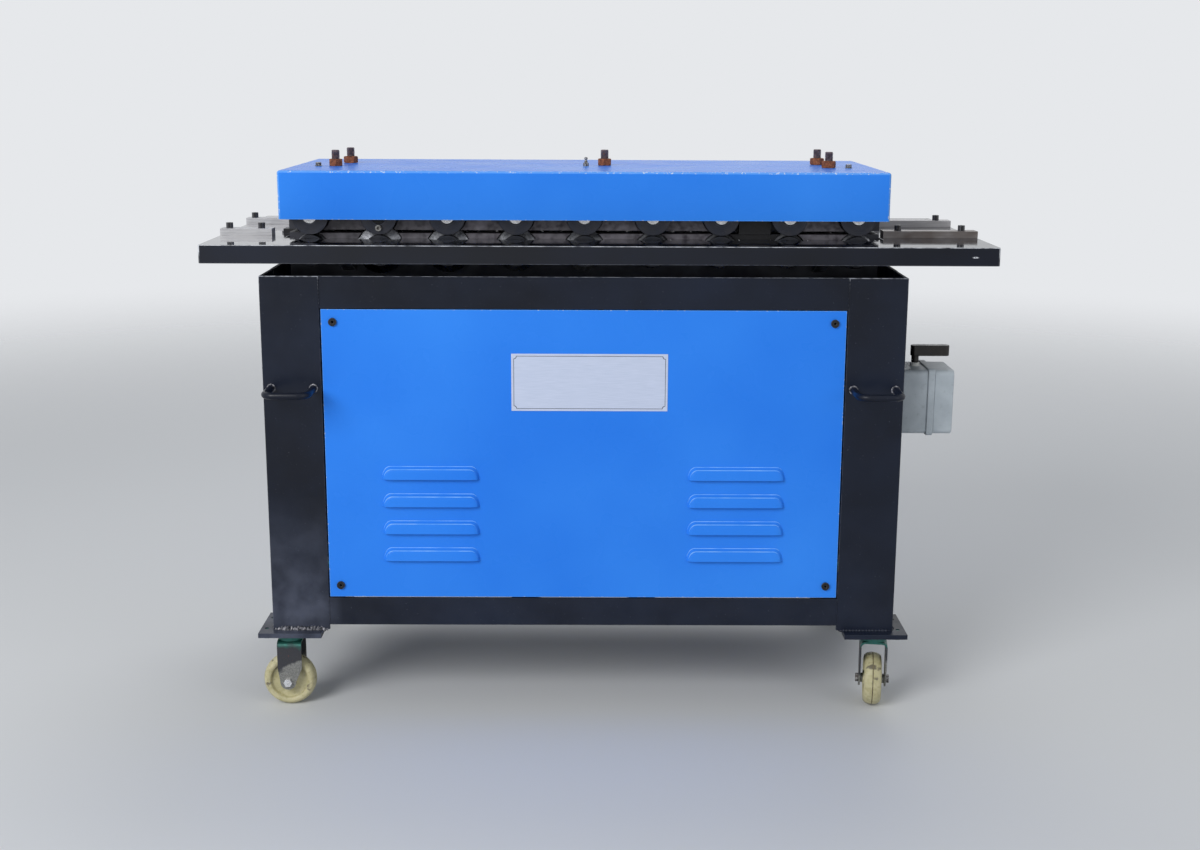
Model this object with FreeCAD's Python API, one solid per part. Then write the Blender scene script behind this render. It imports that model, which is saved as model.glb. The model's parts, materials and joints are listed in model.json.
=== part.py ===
import FreeCAD, Part
import math
import os

# Duct lock former: a double-sided roll former on a wheeled cabinet.
# Millimetres. +X runs along the table, +Y from the operator's side to the back, +Z up.
# The origin is on the floor, under the middle of the table.

# Table: it runs out past the head at both ends
entry_run = 131.0
exit_run = 187.0
table_depth = 606.0
table_above_cabinet = 58.0
table_plate = 12.0
table_edge_height = 33.0
table_edge_wall = 10.0
table_corner = 4.0
plate_slot_gap = 2.0
roll_slot_gap = 3.0

# Roll train
station_count = 9
pass_over_table = 10.0
roll_distance = 63.0
shaft_radius = 14.0
idler_shaft_radius = 8.0
shaft_running_gap = 0.05
roll_face = 187.0
roll_width = 50.0
roll_to_plate_gap = 2.0
disc_width = 15.0
bevel_width = 8.0
flange_width = 12.0
upper_disc_rise = 2.0
roll_gap = 1.0
bevel_gap = 0.8
flange_rises = (-0.5, 13.0, 10.5, 8.5, 7.0, 1.5, 1.5, 1.5, 1.5)
end_cap_inset = 1.0
end_cap_thickness = 3.0
end_bolt_across = 10.0
end_bolt_height = 4.0

# Gears: the same wheel on every shaft and idler
gear_teeth = 14
gear_width = 36.0
gear_addendum = 4.0
gear_dedendum = 5.0
tooth_root_angle = 8.2
tooth_tip_angle = 3.6

# Bearing plates and the pieces between them
plate_thickness = 25.0
plate_overhang = 48.0
head_in_cabinet = 20.0
lower_plate_below_pass = 3.0
upper_plate_above_pass = 3.0
upper_plate_height = 92.5
end_block_thickness = 11.0
anchor_bar_width = 37.0
anchor_bar_height = 18.0

# Guide blocks between the rolls
block_setback = 20.0
block_gap = 1.5
lower_block_height = 21.0
lower_block_below_pass = 1.0
upper_block_height = 44.0
upper_block_above_pass = 5.0
stop_block_width = 58.0
station_count_to_stop = 7
stop_block_setback = 15.0
stop_block_height = 50.0
entry_block_size = (18.0, 30.0, 9.0)
entry_block_setback = 99.0
entry_block_gap = 2.0

# Head cover
cover_end_gap = 4.0
cover_roll_gap = 21.0
cover_above_pass = 27.5
cover_wall = 2.0
cover_corner = 5.0

# Pressure studs, their bars and nuts
stud_radius = 8.0
stud_thread_gap = 0.05
stud_cover_gap = 0.5
front_stud_insets = (78.0, 87.0)
rear_stud_insets = (90.0, 94.0)
stud_row_offset = 55.0
centre_stud_offset = 38.0
stud_above_cover = 30.0
stud_foot = 4.0
centre_stud_depth = 16.0
nut_across = 24.0
nut_height = 13.0
nut_turn = 12.0
centre_bar_width = 28.0

# Small cover fixings
cover_screw_insets = (46.0, 50.0)
cover_screw_row = -62.0
cover_screw_across = 10.0
cover_screw_height = 7.0
nipple_row = -26.0
nipple_offset = 2.0
nipple_radius = 5.0
nipple_height = 7.0
nipple_neck_radius = 2.8
nipple_neck_height = 12.5
nipple_head_radius = 3.8
nipple_top = 17.0

# Guide bars on the table
guide_bar_row = 113.0
guide_bar_depth = 32.0
guide_bar_height = 12.5
entry_bar_gap = 34.0
exit_bar_gap = 9.0
entry_bar_screws = (15.0, 22.0)
exit_bar_screws = (28.0, 30.0)
guide_screw_radius = 4.0
guide_head_radius = 6.5
guide_head_height = 10.0
screw_socket_across = 5.0
screw_socket_depth = 4.0

# Cabinet
cabinet_width = 1168.0
cabinet_depth = 550.0
post_foot = 160.0
post_height = 668.0
post_leg = 107.0
post_wall = 5.0
top_rail_height = 58.0
bottom_rail_height = 52.5
bottom_rail_rise = 10.0
rail_wall = 6.0
side_sheet = 3.0
tab_reach = 30.0
tab_height = 50.0
tab_overlap = 25.0
tab_thickness = 5.0

# Cross members
tube_side = 60.0
tube_wall = 5.0
tube_spread = 415.0
motor_tube_side = 50.0
motor_tube_spread = 110.0
bracket_width = 24.0
bracket_gap = 7.0
bracket_toe = 12.0
bracket_depth = 52.0

# Front and rear panels
panel_sheet = 3.0
panel_recess = 2.0
panel_gap = 2.0
louvre_length = 180.0
louvre_height = 24.0
louvre_depth = 9.0
louvre_wall = 2.0
louvre_lip = 6.0
louvre_curve = ((0.0, 1.0), (0.55, 0.85), (0.85, 0.45))
louvre_row_count = 4
louvre_pitch = 52.0
louvre_top = 477.0
louvre_offset = 282.0
panel_screw_inset = 23.0
panel_screw_radius = 4.0
panel_head_radius = 7.5
panel_head_height = 4.0

# Carrying handles
handle_bar_radius = 6.5
handle_leg_spread = 77.0
handle_reach = 80.0
handle_height = 623.0
handle_bend = 18.0

# Casters
foot_plate_side = 118.0
foot_plate_thickness = 9.0
foot_plate_overhang = 24.0
caster_plate_size = (104.0, 84.0)
caster_plate_thickness = 3.0
race_radius = 27.0
race_height = 10.0
race_gap = 0.5
cup_radius = 24.0
cup_height = 6.0
crown_thickness = 3.5
kingpin_radius = 6.0
kingpin_head_radius = 10.0
kingpin_head_height = 4.0
wheel_radius = 50.0
wheel_width = 33.0
wheel_hub_radius = 14.0
wheel_hub_width = 36.0
wheel_web_width = 18.0
wheel_rim_inner = 35.0
wheel_crown = 9.0
wheel_crown_steps = (0.3, 0.6, 0.8, 0.93, 1.0)
caster_trail = 4.0
fork_side_gap = 5.0
fork_wall = 3.0
fork_toe_radius = 15.0
fork_half_length = 23.0
fork_straight_low = 78.0
fork_corner = 11.0
axle_sleeve_radius = 9.0
axle_sleeve_gap = 0.3
axle_radius = 6.0
axle_head_across = 14.0
axle_head_height = 6.0
caster_shifts = {"left": -9.0, "right": 7.0}
caster_bolt_spread = (78.0, 58.0)
caster_bolt_radius = 4.0
caster_bolt_across = 13.0
caster_bolt_head = 6.0
caster_bolt_sink = 1.5
caster_turn = {"front_left": 180.0, "front_right": 82.0, "rear_left": 205.0, "rear_right": 160.0}

# Gear motor and chain
sprocket_teeth = 16
chain_pitch = 12.7
sprocket_row = 70.0
sprocket_thickness = 7.0
sprocket_tip = 3.2
sprocket_root = 4.4
sprocket_root_angle = 7.6
sprocket_tip_angle = 2.9
sprocket_hub_radius = 22.0
sprocket_hub_width = 16.0
chain_inner_width = 7.8
chain_plate_thickness = 1.5
chain_plate_height = 11.0
chain_roller_height = 8.4
chain_clear_of_teeth = 24.0
motor_output_rise = 158.0
motor_output_radius = 15.0
reducer_width = 150.0
reducer_depth = 110.0
reducer_height = 230.0
reducer_corner = 28.0
reducer_foot = 14.0
reducer_gap = 12.0
worm_drop = 63.0
motor_radius = 72.0
motor_length = 230.0
motor_flange_radius = 82.0
motor_flange_thickness = 12.0
fan_cover_length = 48.0
fan_cover_radius = 76.0
fin_count = 16
fin_height = 6.0
fin_thickness = 5.0
fin_root = 2.0
terminal_box = (90.0, 80.0, 46.0)
terminal_box_sink = 6.0

# Drum switch on the right-hand side
switch_setback = 131.5
switch_depth = 103.0
switch_bottom = 523.0
switch_height = 122.0
switch_base_width = 61.0
switch_flange_width = 13.0
switch_flange_lip = 3.0
switch_cover_width = 36.0
switch_corner = 9.0
switch_bush_radius = 9.0
switch_bush_height = 7.0
lever_axis_offset = 45.0
lever_spindle_radius = 5.0
lever_collar_radius = 7.0
lever_collar_gap = 0.5
lever_spindle_depth = 20.0
lever_gap = 13.0
lever_corner = 8.0
spindle_end_gap = 6.0
lever_length = 73.0
lever_heel = 9.0
lever_width = 18.0
lever_height = 20.0
lever_running_gap = 0.05

# Worked out from the sizes above: the head is placed so that the origin lies under the table's middle
station_pitch = 2 * roll_distance
head_centre = (entry_run - exit_run) / 2
cabinet_top = post_foot + post_height
table_top = cabinet_top + table_above_cabinet
pass_line = table_top + pass_over_table
lower_axis = pass_line - roll_distance / 2
upper_axis = pass_line + roll_distance / 2
first_station = head_centre - station_pitch * (station_count - 1) / 2
last_station = head_centre + station_pitch * (station_count - 1) / 2
stations = [first_station + station_pitch * i for i in range(station_count)]
inner_radius = (roll_distance - roll_gap) / 2
flange_radii = [roll_distance / 2 + rise for rise in flange_rises]
upper_disc_radius = roll_distance / 2 + upper_disc_rise
lower_disc_radius = roll_distance - roll_gap - upper_disc_radius
end_cap_radius = shaft_radius - end_cap_inset
gear_pitch_radius = roll_distance / 2
gear_tip = gear_pitch_radius + gear_addendum
gear_root = gear_pitch_radius - gear_dedendum
plate_face = roll_face - roll_width - roll_to_plate_gap
plate_inner = plate_face - plate_thickness
plate_left = first_station - plate_overhang
plate_right = last_station + plate_overhang
lower_plate_bottom = cabinet_top - head_in_cabinet
lower_plate_top = pass_line - lower_plate_below_pass
upper_plate_bottom = pass_line + upper_plate_above_pass
upper_plate_top = upper_plate_bottom + upper_plate_height
block_face = roll_face - block_setback
cover_left = plate_left - cover_end_gap
cover_right = plate_right + cover_end_gap
cover_half_depth = roll_face + end_cap_thickness + end_bolt_height + cover_roll_gap
bar_top = upper_plate_top + anchor_bar_height
cover_top = bar_top + cover_wall
cover_bottom = pass_line + cover_above_pass
table_left = plate_left - entry_run
table_right = plate_right + exit_run
table_under = table_top - table_plate
cabinet_left = head_centre - cabinet_width / 2
cabinet_right = head_centre + cabinet_width / 2
cabinet_front = -cabinet_depth / 2
switch_row = cabinet_front + switch_setback
post_inner_left = cabinet_left + post_leg
post_inner_right = cabinet_right - post_leg
bottom_rail_low = post_foot + bottom_rail_rise
bottom_rail_top = bottom_rail_low + bottom_rail_height
top_rail_low = cabinet_top - top_rail_height
rail_inner = cabinet_front + rail_wall
motor_floor = bottom_rail_low + motor_tube_side
motor_output_height = motor_floor + motor_output_rise
chain_radius = chain_pitch / (2 * math.sin(math.pi / sprocket_teeth))
drive_station = stations[station_count // 2]
foot_plate_low = post_foot - foot_plate_thickness
caster_plate_low = foot_plate_low - caster_plate_thickness
race_low = caster_plate_low - race_height
cup_low = race_low - race_gap - cup_height
crown_low = cup_low - crown_thickness
fork_inner = wheel_hub_width / 2 + fork_side_gap


def box(x0, x1, y0, y1, z0, z1):
    """A block between two corners."""
    return Part.makeBox(x1 - x0, y1 - y0, z1 - z0, FreeCAD.Vector(x0, y0, z0))


def rod(radius, start, end):
    """A round bar from one point to another."""
    first = FreeCAD.Vector(*start)
    run = FreeCAD.Vector(*end) - first
    return Part.makeCylinder(radius, run.Length, first, run)


def fused(*shapes):
    """One solid from several that touch."""
    shape = shapes[0]
    for other in shapes[1:]:
        shape = shape.fuse(other)
    return shape.removeSplitter()


def prism(points, start, direction):
    """A closed outline, given as points in space, pushed along a direction."""
    corners = [FreeCAD.Vector(*p) for p in points]
    face = Part.Face(Part.makePolygon(corners + corners[:1]))
    solid = face.extrude(FreeCAD.Vector(*direction))
    solid.translate(FreeCAD.Vector(*start))
    return solid


def turned(profile, x, z):
    """A closed profile of (radius, y) points turned about the line along Y through x and z."""
    corners = [FreeCAD.Vector(x + r, y, z) for r, y in profile]
    face = Part.Face(Part.makePolygon(corners + corners[:1]))
    return face.revolve(FreeCAD.Vector(x, 0, z), FreeCAD.Vector(0, 1, 0), 360)


def hexagon(across, start, direction, height, turn=0.0):
    """A hexagonal bar of a given size across flats, along Y or Z."""
    radius = across / math.sqrt(3)
    angles = [math.radians(turn + 60 * i) for i in range(6)]
    if direction == "z":
        points = [(radius * math.cos(a), radius * math.sin(a), 0) for a in angles]
        return prism(points, start, (0, 0, height))
    points = [(radius * math.cos(a), 0, radius * math.sin(a)) for a in angles]
    return prism(points, start, (0, height, 0))


def mirrored(shape):
    """The same shape on the other side of the machine's middle plane."""
    return shape.mirror(FreeCAD.Vector(0, 0, 0), FreeCAD.Vector(0, 1, 0))


def both_sides(shapes):
    """Each shape and its mirror image at the back."""
    return shapes + [mirrored(s) for s in shapes]


def placed(shape, angle, x, y):
    """A shape built round the Z axis, turned about it and moved to x and y."""
    copy = shape.copy()
    copy.rotate(FreeCAD.Vector(0, 0, 0), FreeCAD.Vector(0, 0, 1), angle)
    copy.translate(FreeCAD.Vector(x, y, 0))
    return copy


def save(node, shapes):
    """Write one sub-part as a STEP file."""
    shape = shapes[0] if len(shapes) == 1 else Part.makeCompound(shapes)
    shape.exportStep("parts/" + node + ".step")


def toothed(count, tip, root, root_angle, tip_angle, phase):
    """The outline of a wheel with straight-flanked teeth, as (x, z) points about its centre."""
    points = []
    for i in range(count):
        middle = phase + 360.0 * i / count
        for radius, angle in ((root, -root_angle), (tip, -tip_angle), (tip, tip_angle), (root, root_angle)):
            a = math.radians(middle + angle)
            points.append((radius * math.cos(a), radius * math.sin(a)))
    return points


def gear(x, z, bore, phase):
    """A spur gear in the machine's middle plane."""
    outline = toothed(gear_teeth, gear_tip, gear_root, tooth_root_angle, tooth_tip_angle, phase)
    blank = prism([(px, 0, pz) for px, pz in outline], (x, -gear_width / 2, z), (0, gear_width, 0))
    return blank.cut(rod(bore, (x, -gear_width, z), (x, gear_width, z)))


def sprocket(x, z, bore):
    """A chain wheel with a hub behind it."""
    outline = toothed(sprocket_teeth, chain_radius + sprocket_tip, chain_radius - sprocket_root,
                      sprocket_root_angle, sprocket_tip_angle, 0)
    start = sprocket_row - sprocket_thickness / 2
    disc = prism([(px, 0, pz) for px, pz in outline], (x, start, z), (0, sprocket_thickness, 0))
    hub = rod(sprocket_hub_radius, (x, start - sprocket_hub_width, z), (x, start, z))
    hole = rod(bore, (x, 0, z), (x, 2 * sprocket_row, z))
    return fused(disc, hub).cut(hole)


def roll_marks():
    """The places along Y where a front roll changes, from its face inwards."""
    face = -roll_face
    disc_end = face + disc_width
    bevel_end = disc_end + bevel_width
    flange_end = bevel_end + flange_width
    return face, disc_end, bevel_end, flange_end, face + roll_width


def lower_front_roll(x, flange):
    """A disc, a bevel up to the forming flange, and the inner drum."""
    face, disc_end, bevel_end, flange_end, back = roll_marks()
    profile = [(shaft_radius, face), (lower_disc_radius, face), (lower_disc_radius, disc_end),
               (flange, bevel_end), (flange, flange_end)]
    if flange != inner_radius:
        profile.append((inner_radius, flange_end))
    profile += [(inner_radius, back), (shaft_radius, back)]
    return turned(profile, x, lower_axis)


def upper_front_roll(x, flange):
    """The matching roll: its groove follows the flange of the roll below."""
    face, disc_end, bevel_end, flange_end, back = roll_marks()
    groove = roll_distance - bevel_gap - flange
    profile = [(shaft_radius, face), (upper_disc_radius, face), (upper_disc_radius, disc_end),
               (groove, bevel_end), (groove, flange_end + roll_to_plate_gap)]
    profile += [(inner_radius, flange_end + roll_to_plate_gap), (inner_radius, back), (shaft_radius, back)]
    return turned(profile, x, upper_axis)


def rear_roll(x, z):
    """The plain drum of the second side."""
    profile = [(shaft_radius, roll_face - roll_width), (inner_radius, roll_face - roll_width),
               (inner_radius, roll_face), (shaft_radius, roll_face)]
    return turned(profile, x, z)


def end_cap(x, z, side):
    """The retaining disc and its bolt on one end of a shaft. side is -1 in front and +1 behind."""
    seat = side * roll_face
    disc = rod(end_cap_radius, (x, seat, z), (x, seat + side * end_cap_thickness, z))
    start = seat + side * end_cap_thickness
    if side < 0:
        start -= end_bolt_height
    bolt = hexagon(end_bolt_across, (x, start, z), "y", end_bolt_height)
    return fused(disc, bolt)


def roll_shaft(index, upper):
    """One shaft with its two rolls, gear and end caps."""
    x = stations[index]
    z = upper_axis if upper else lower_axis
    shaft = rod(shaft_radius, (x, -roll_face, z), (x, roll_face, z))
    half_tooth = 180.0 / gear_teeth
    pieces = [shaft, gear(x, z, shaft_radius, half_tooth if upper else 0.0)]
    front_roll = upper_front_roll if upper else lower_front_roll
    pieces.append(front_roll(x, flange_radii[index]))
    pieces.append(rear_roll(x, z))
    pieces += [end_cap(x, z, -1), end_cap(x, z, 1)]
    if not upper and x == drive_station:
        pieces.append(sprocket(x, z, shaft_radius))
    return pieces


def idler(index):
    """An idler gear and its shaft, half-way between two lower shafts."""
    x = stations[index] + station_pitch / 2
    shaft = rod(idler_shaft_radius, (x, -plate_face, lower_axis), (x, plate_face, lower_axis))
    return [shaft, gear(x, lower_axis, idler_shaft_radius, 180.0 / gear_teeth)]


def bearing_plate(bottom, top, axis, bores):
    """The front plate of a pair, with a running bore for each shaft."""
    plate = box(plate_left, plate_right, -plate_face, -plate_inner, bottom, top)
    holes = [rod(radius + shaft_running_gap, (x, -plate_face - 1, axis), (x, -plate_inner + 1, axis))
             for x, radius in bores]
    return plate.cut(Part.makeCompound(holes))


def guide_block(index, low, high, lower_radii, upper_radius):
    """A front block between two stations whose ends are hollowed round the rolls."""
    left = stations[index]
    right = stations[index + 1]
    block = box(left, right, -block_face, -plate_face, low, high)
    for x, lower_radius in ((left, lower_radii[0]), (right, lower_radii[1])):
        for radius, axis in ((lower_radius, lower_axis), (upper_radius, upper_axis)):
            hollow = rod(radius + block_gap, (x, -block_face - 1, axis), (x, -plate_face + 1, axis))
            block = block.cut(hollow)
    return block


def guide_blocks():
    """The lower and upper blocks, the taller stop block and the small block at the entry."""
    lower_top = pass_line - lower_block_below_pass
    upper_low = pass_line + upper_block_above_pass
    lower_low = lower_top - lower_block_height
    upper_top = upper_low + upper_block_height
    plain = (inner_radius, inner_radius)
    front = []
    rear = []
    for i in range(station_count - 1):
        flanges = (flange_radii[i], flange_radii[i + 1])
        front.append(guide_block(i, lower_low, lower_top, flanges, upper_disc_radius))
        rear.append(mirrored(guide_block(i, lower_low, lower_top, plain, inner_radius)))
        rear.append(mirrored(guide_block(i, upper_low, upper_top, plain, inner_radius)))
        if i != station_count_to_stop - 1:
            front.append(guide_block(i, upper_low, upper_top, flanges, upper_disc_radius))
    middle = first_station + station_pitch * (station_count_to_stop - 0.5)
    stop_face = roll_face - stop_block_setback
    stop = box(middle - stop_block_width / 2, middle + stop_block_width / 2, -stop_face, -plate_face,
               lower_top + block_gap / 2, lower_top + block_gap / 2 + stop_block_height)
    width, depth, height = entry_block_size
    entry_right = plate_left - entry_block_gap
    entry_face = roll_face - entry_block_setback
    entry = box(entry_right - width, entry_right, -entry_face, -entry_face + depth, table_top,
                table_top + height)
    return front + rear + [stop, entry]


def table():
    """A plate with a turned-down edge, open in the middle for the bearing plates and the lower rolls."""
    half = table_depth / 2
    plate = box(table_left, table_right, -half, half, table_top - table_edge_height, table_top)
    upright = [e for e in plate.Edges if abs(e.Vertexes[0].Z - e.Vertexes[1].Z) > table_edge_height / 2]
    plate = plate.makeFillet(table_corner, upright)
    inner = box(table_left + table_edge_wall, table_right - table_edge_wall, -half + table_edge_wall,
                half - table_edge_wall, table_top - table_edge_height - 1, table_under)
    plate = plate.cut(inner)
    low = table_under - 1
    high = table_top + 1
    slot_edge = block_face + plate_slot_gap
    slot = box(plate_left - plate_slot_gap, plate_right + plate_slot_gap, -slot_edge, slot_edge, low, high)
    reach = roll_face + end_cap_thickness + roll_slot_gap
    bevel_share = (roll_face - disc_width - slot_edge) / bevel_width
    notches = []
    for x, flange in zip(stations, flange_radii):
        front = lower_disc_radius + bevel_share * (flange - lower_disc_radius) + roll_slot_gap
        rear = inner_radius + roll_slot_gap
        notches.append(box(x - front, x + front, -reach, 0, low, high))
        notches.append(box(x - rear, x + rear, 0, reach, low, high))
    return plate.cut(fused(slot, *notches))


def stud_places():
    """The x and y of the four corner studs, the front pair first."""
    places = []
    for insets, y in ((front_stud_insets, -stud_row_offset), (rear_stud_insets, stud_row_offset)):
        places += [(plate_left + insets[0], y), (plate_right - insets[1], y)]
    return places


def head_spacers():
    """End blocks, anchor bars and pressure bars that tie the bearing plates together."""
    pieces = []
    for x0 in (plate_left, plate_right - end_block_thickness):
        x1 = x0 + end_block_thickness
        pieces.append(box(x0, x1, -plate_inner, plate_inner, lower_plate_bottom, lower_plate_top))
        pieces.append(box(x0, x1, -plate_inner, plate_inner, upper_plate_bottom, upper_plate_top))
    left_inset, right_inset = [sum(pair) / 2 for pair in zip(front_stud_insets, rear_stud_insets)]
    for middle in (plate_left + left_inset, plate_right - right_inset):
        x0 = middle - anchor_bar_width / 2
        x1 = middle + anchor_bar_width / 2
        anchor = box(x0, x1, -plate_inner, plate_inner, lower_plate_bottom,
                     lower_plate_bottom + anchor_bar_height)
        pressure = box(x0, x1, -plate_face, plate_face, upper_plate_top, bar_top)
        for x, y in stud_places():
            if x0 < x < x1:
                hole = rod(stud_radius + stud_thread_gap, (x, y, lower_plate_bottom + stud_foot),
                           (x, y, bar_top + 1))
                anchor = anchor.cut(hole)
                pressure = pressure.cut(hole)
        pieces += [anchor, pressure]
    x = head_centre + centre_stud_offset
    bar = box(x - centre_bar_width / 2, x + centre_bar_width / 2, -plate_face, plate_face, upper_plate_top,
              bar_top)
    hole = rod(stud_radius + stud_thread_gap, (x, 0, bar_top - centre_stud_depth), (x, 0, bar_top + 1))
    pieces.append(bar.cut(hole))
    return pieces


def studs():
    """Four long studs at the corners and a short one in the middle."""
    top = cover_top + stud_above_cover
    foot = lower_plate_bottom + stud_foot
    pieces = [rod(stud_radius, (x, y, foot), (x, y, top)) for x, y in stud_places()]
    x = head_centre + centre_stud_offset
    pieces.append(rod(stud_radius, (x, 0, bar_top - centre_stud_depth), (x, 0, top)))
    return pieces


def jam_nuts():
    """A hexagon nut on each stud, down on the cover."""
    pieces = []
    for x, y in stud_places() + [(head_centre + centre_stud_offset, 0)]:
        nut = hexagon(nut_across, (x, y, cover_top), "z", nut_height, nut_turn)
        hole = rod(stud_radius + stud_thread_gap, (x, y, cover_top - 1), (x, y, cover_top + nut_height + 1))
        pieces.append(nut.cut(hole))
    return pieces


def head_cover():
    """A folded sheet box, open below, with holes for the studs."""
    half = cover_half_depth
    outer = box(cover_left, cover_right, -half, half, cover_bottom, cover_top)
    low_edges = [e for e in outer.Edges if max(v.Z for v in e.Vertexes) < cover_bottom + 1]
    rounded = [e for e in outer.Edges if not any(e.isSame(low) for low in low_edges)]
    outer = outer.makeFillet(cover_corner, rounded)
    inner = box(cover_left + cover_wall, cover_right - cover_wall, -half + cover_wall, half - cover_wall,
                cover_bottom - 1, cover_top - cover_wall)
    upright = [e for e in inner.Edges if abs(e.Vertexes[0].Z - e.Vertexes[1].Z) > cover_corner]
    shell = outer.cut(inner.makeFillet(cover_corner - cover_wall, upright))
    for x, y in stud_places() + [(head_centre + centre_stud_offset, 0)]:
        hole = rod(stud_radius + stud_cover_gap, (x, y, bar_top - 1), (x, y, cover_top + 1))
        shell = shell.cut(hole)
    return shell


def cover_fixings():
    """Two small hexagon screws and the grease nipple on top of the cover."""
    pieces = []
    left_inset, right_inset = cover_screw_insets
    for x in (plate_left + left_inset, plate_right - right_inset):
        start = (x, cover_screw_row, cover_top)
        pieces.append(hexagon(cover_screw_across, start, "z", cover_screw_height))
    x = head_centre + nipple_offset
    base = rod(nipple_radius, (x, nipple_row, cover_top), (x, nipple_row, cover_top + nipple_height))
    neck_top = cover_top + nipple_neck_height
    neck = rod(nipple_neck_radius, (x, nipple_row, cover_top), (x, nipple_row, neck_top))
    head = rod(nipple_head_radius, (x, nipple_row, neck_top), (x, nipple_row, cover_top + nipple_top))
    pieces.append(fused(base, neck, head))
    return pieces


def guide_bar_spans():
    """The ends of the entry and exit bars along X, each with the x of its two screws."""
    entry_end = plate_left - entry_bar_gap
    exit_end = plate_right + exit_bar_gap
    outer, inner = entry_bar_screws
    entry = (table_left, entry_end, (table_left + outer, entry_end - inner))
    outer, inner = exit_bar_screws
    return entry, (exit_end, table_right, (exit_end + inner, table_right - outer))


def guide_bars():
    """Straight bars on the table in front of and behind the pass line."""
    front = []
    for x0, x1, screws in guide_bar_spans():
        bar = box(x0, x1, -guide_bar_row - guide_bar_depth / 2, -guide_bar_row + guide_bar_depth / 2,
                  table_top, table_top + guide_bar_height)
        for x in screws:
            bar = bar.cut(rod(guide_screw_radius + stud_thread_gap, (x, -guide_bar_row, table_top - 1),
                              (x, -guide_bar_row, table_top + guide_bar_height + 1)))
        front.append(bar)
    return both_sides(front)


def socket_screw(radius, head_radius, head_height, shank):
    """A socket screw pointing down, with its head's seat at the origin."""
    body = fused(rod(radius, (0, 0, -shank), (0, 0, 0)), rod(head_radius, (0, 0, 0), (0, 0, head_height)))
    start = (0, 0, head_height - screw_socket_depth)
    return body.cut(hexagon(screw_socket_across, start, "z", screw_socket_depth + 1))


def guide_screws():
    """The socket screws that hold the guide bars down."""
    front = []
    for x0, x1, screws in guide_bar_spans():
        for x in screws:
            screw = socket_screw(guide_screw_radius, guide_head_radius, guide_head_height, guide_bar_height)
            screw.translate(FreeCAD.Vector(x, -guide_bar_row, table_top + guide_bar_height))
            front.append(screw)
    return both_sides(front)


def panel_screw_places():
    """The x and z of a panel's four screws."""
    xs = (post_inner_left + panel_screw_inset, post_inner_right - panel_screw_inset)
    zs = (bottom_rail_top + panel_screw_inset + panel_gap, top_rail_low - panel_screw_inset - panel_gap)
    return [(x, z) for x in xs for z in zs]


def panel_screws():
    """Button-head screws through the panels into the tabs behind them."""
    front = []
    seat = cabinet_front + panel_recess
    length = panel_sheet + tab_thickness
    for x, z in panel_screw_places():
        screw = socket_screw(panel_screw_radius, panel_head_radius, panel_head_height, length)
        screw.rotate(FreeCAD.Vector(0, 0, 0), FreeCAD.Vector(1, 0, 0), 90)
        screw.translate(FreeCAD.Vector(x, seat, z))
        front.append(screw)
    return both_sides(front)


def corner_posts():
    """Four L-section posts."""
    front = []
    for x0, x1, wall in ((cabinet_left, post_inner_left, 1), (post_inner_right, cabinet_right, -1)):
        face = box(x0, x1, cabinet_front, cabinet_front + post_wall, post_foot, cabinet_top)
        if wall > 0:
            side = box(x0, x0 + post_wall, cabinet_front, cabinet_front + post_leg, post_foot, cabinet_top)
        else:
            side = box(x1 - post_wall, x1, cabinet_front, cabinet_front + post_leg, post_foot, cabinet_top)
        front.append(fused(face, side))
    return both_sides(front)


def frame_rails():
    """The flat rails between the posts and the tabs that the panels are screwed to."""
    front = []
    for low, high in ((bottom_rail_low, bottom_rail_top), (top_rail_low, cabinet_top)):
        front.append(box(post_inner_left, post_inner_right, cabinet_front, rail_inner, low, high))
    tab_front = cabinet_front + post_wall
    for x, z in panel_screw_places():
        if x < head_centre:
            x0 = post_inner_left - tab_overlap
            x1 = post_inner_left + tab_reach
        else:
            x0 = post_inner_right - tab_reach
            x1 = post_inner_right + tab_overlap
        low = max(z - tab_height / 2, bottom_rail_top)
        high = min(z + tab_height / 2, top_rail_low)
        tab = box(x0, x1, tab_front, tab_front + tab_thickness, low, high)
        hole = rod(panel_screw_radius + stud_thread_gap, (x, cabinet_front, z),
                   (x, tab_front + 2 * tab_thickness, z))
        front.append(tab.cut(hole))
    sides = []
    reach = cabinet_depth / 2 - post_leg
    for x0 in (cabinet_left, cabinet_right - rail_wall):
        for low, high in ((bottom_rail_low, bottom_rail_top), (top_rail_low, cabinet_top)):
            sides.append(box(x0, x0 + rail_wall, -reach, reach, low, high))
    return both_sides(front) + sides


def side_sheets():
    """The plain sheets that close the two ends, flush with the posts."""
    reach = cabinet_depth / 2 - post_leg
    sheets = []
    for x0 in (cabinet_left, cabinet_right - side_sheet):
        sheets.append(box(x0, x0 + side_sheet, -reach, reach, bottom_rail_top, top_rail_low))
    return sheets


def closed_wire(points):
    """A closed outline through points in space."""
    return Part.makePolygon([FreeCAD.Vector(*p) for p in points + points[:1]])


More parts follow.
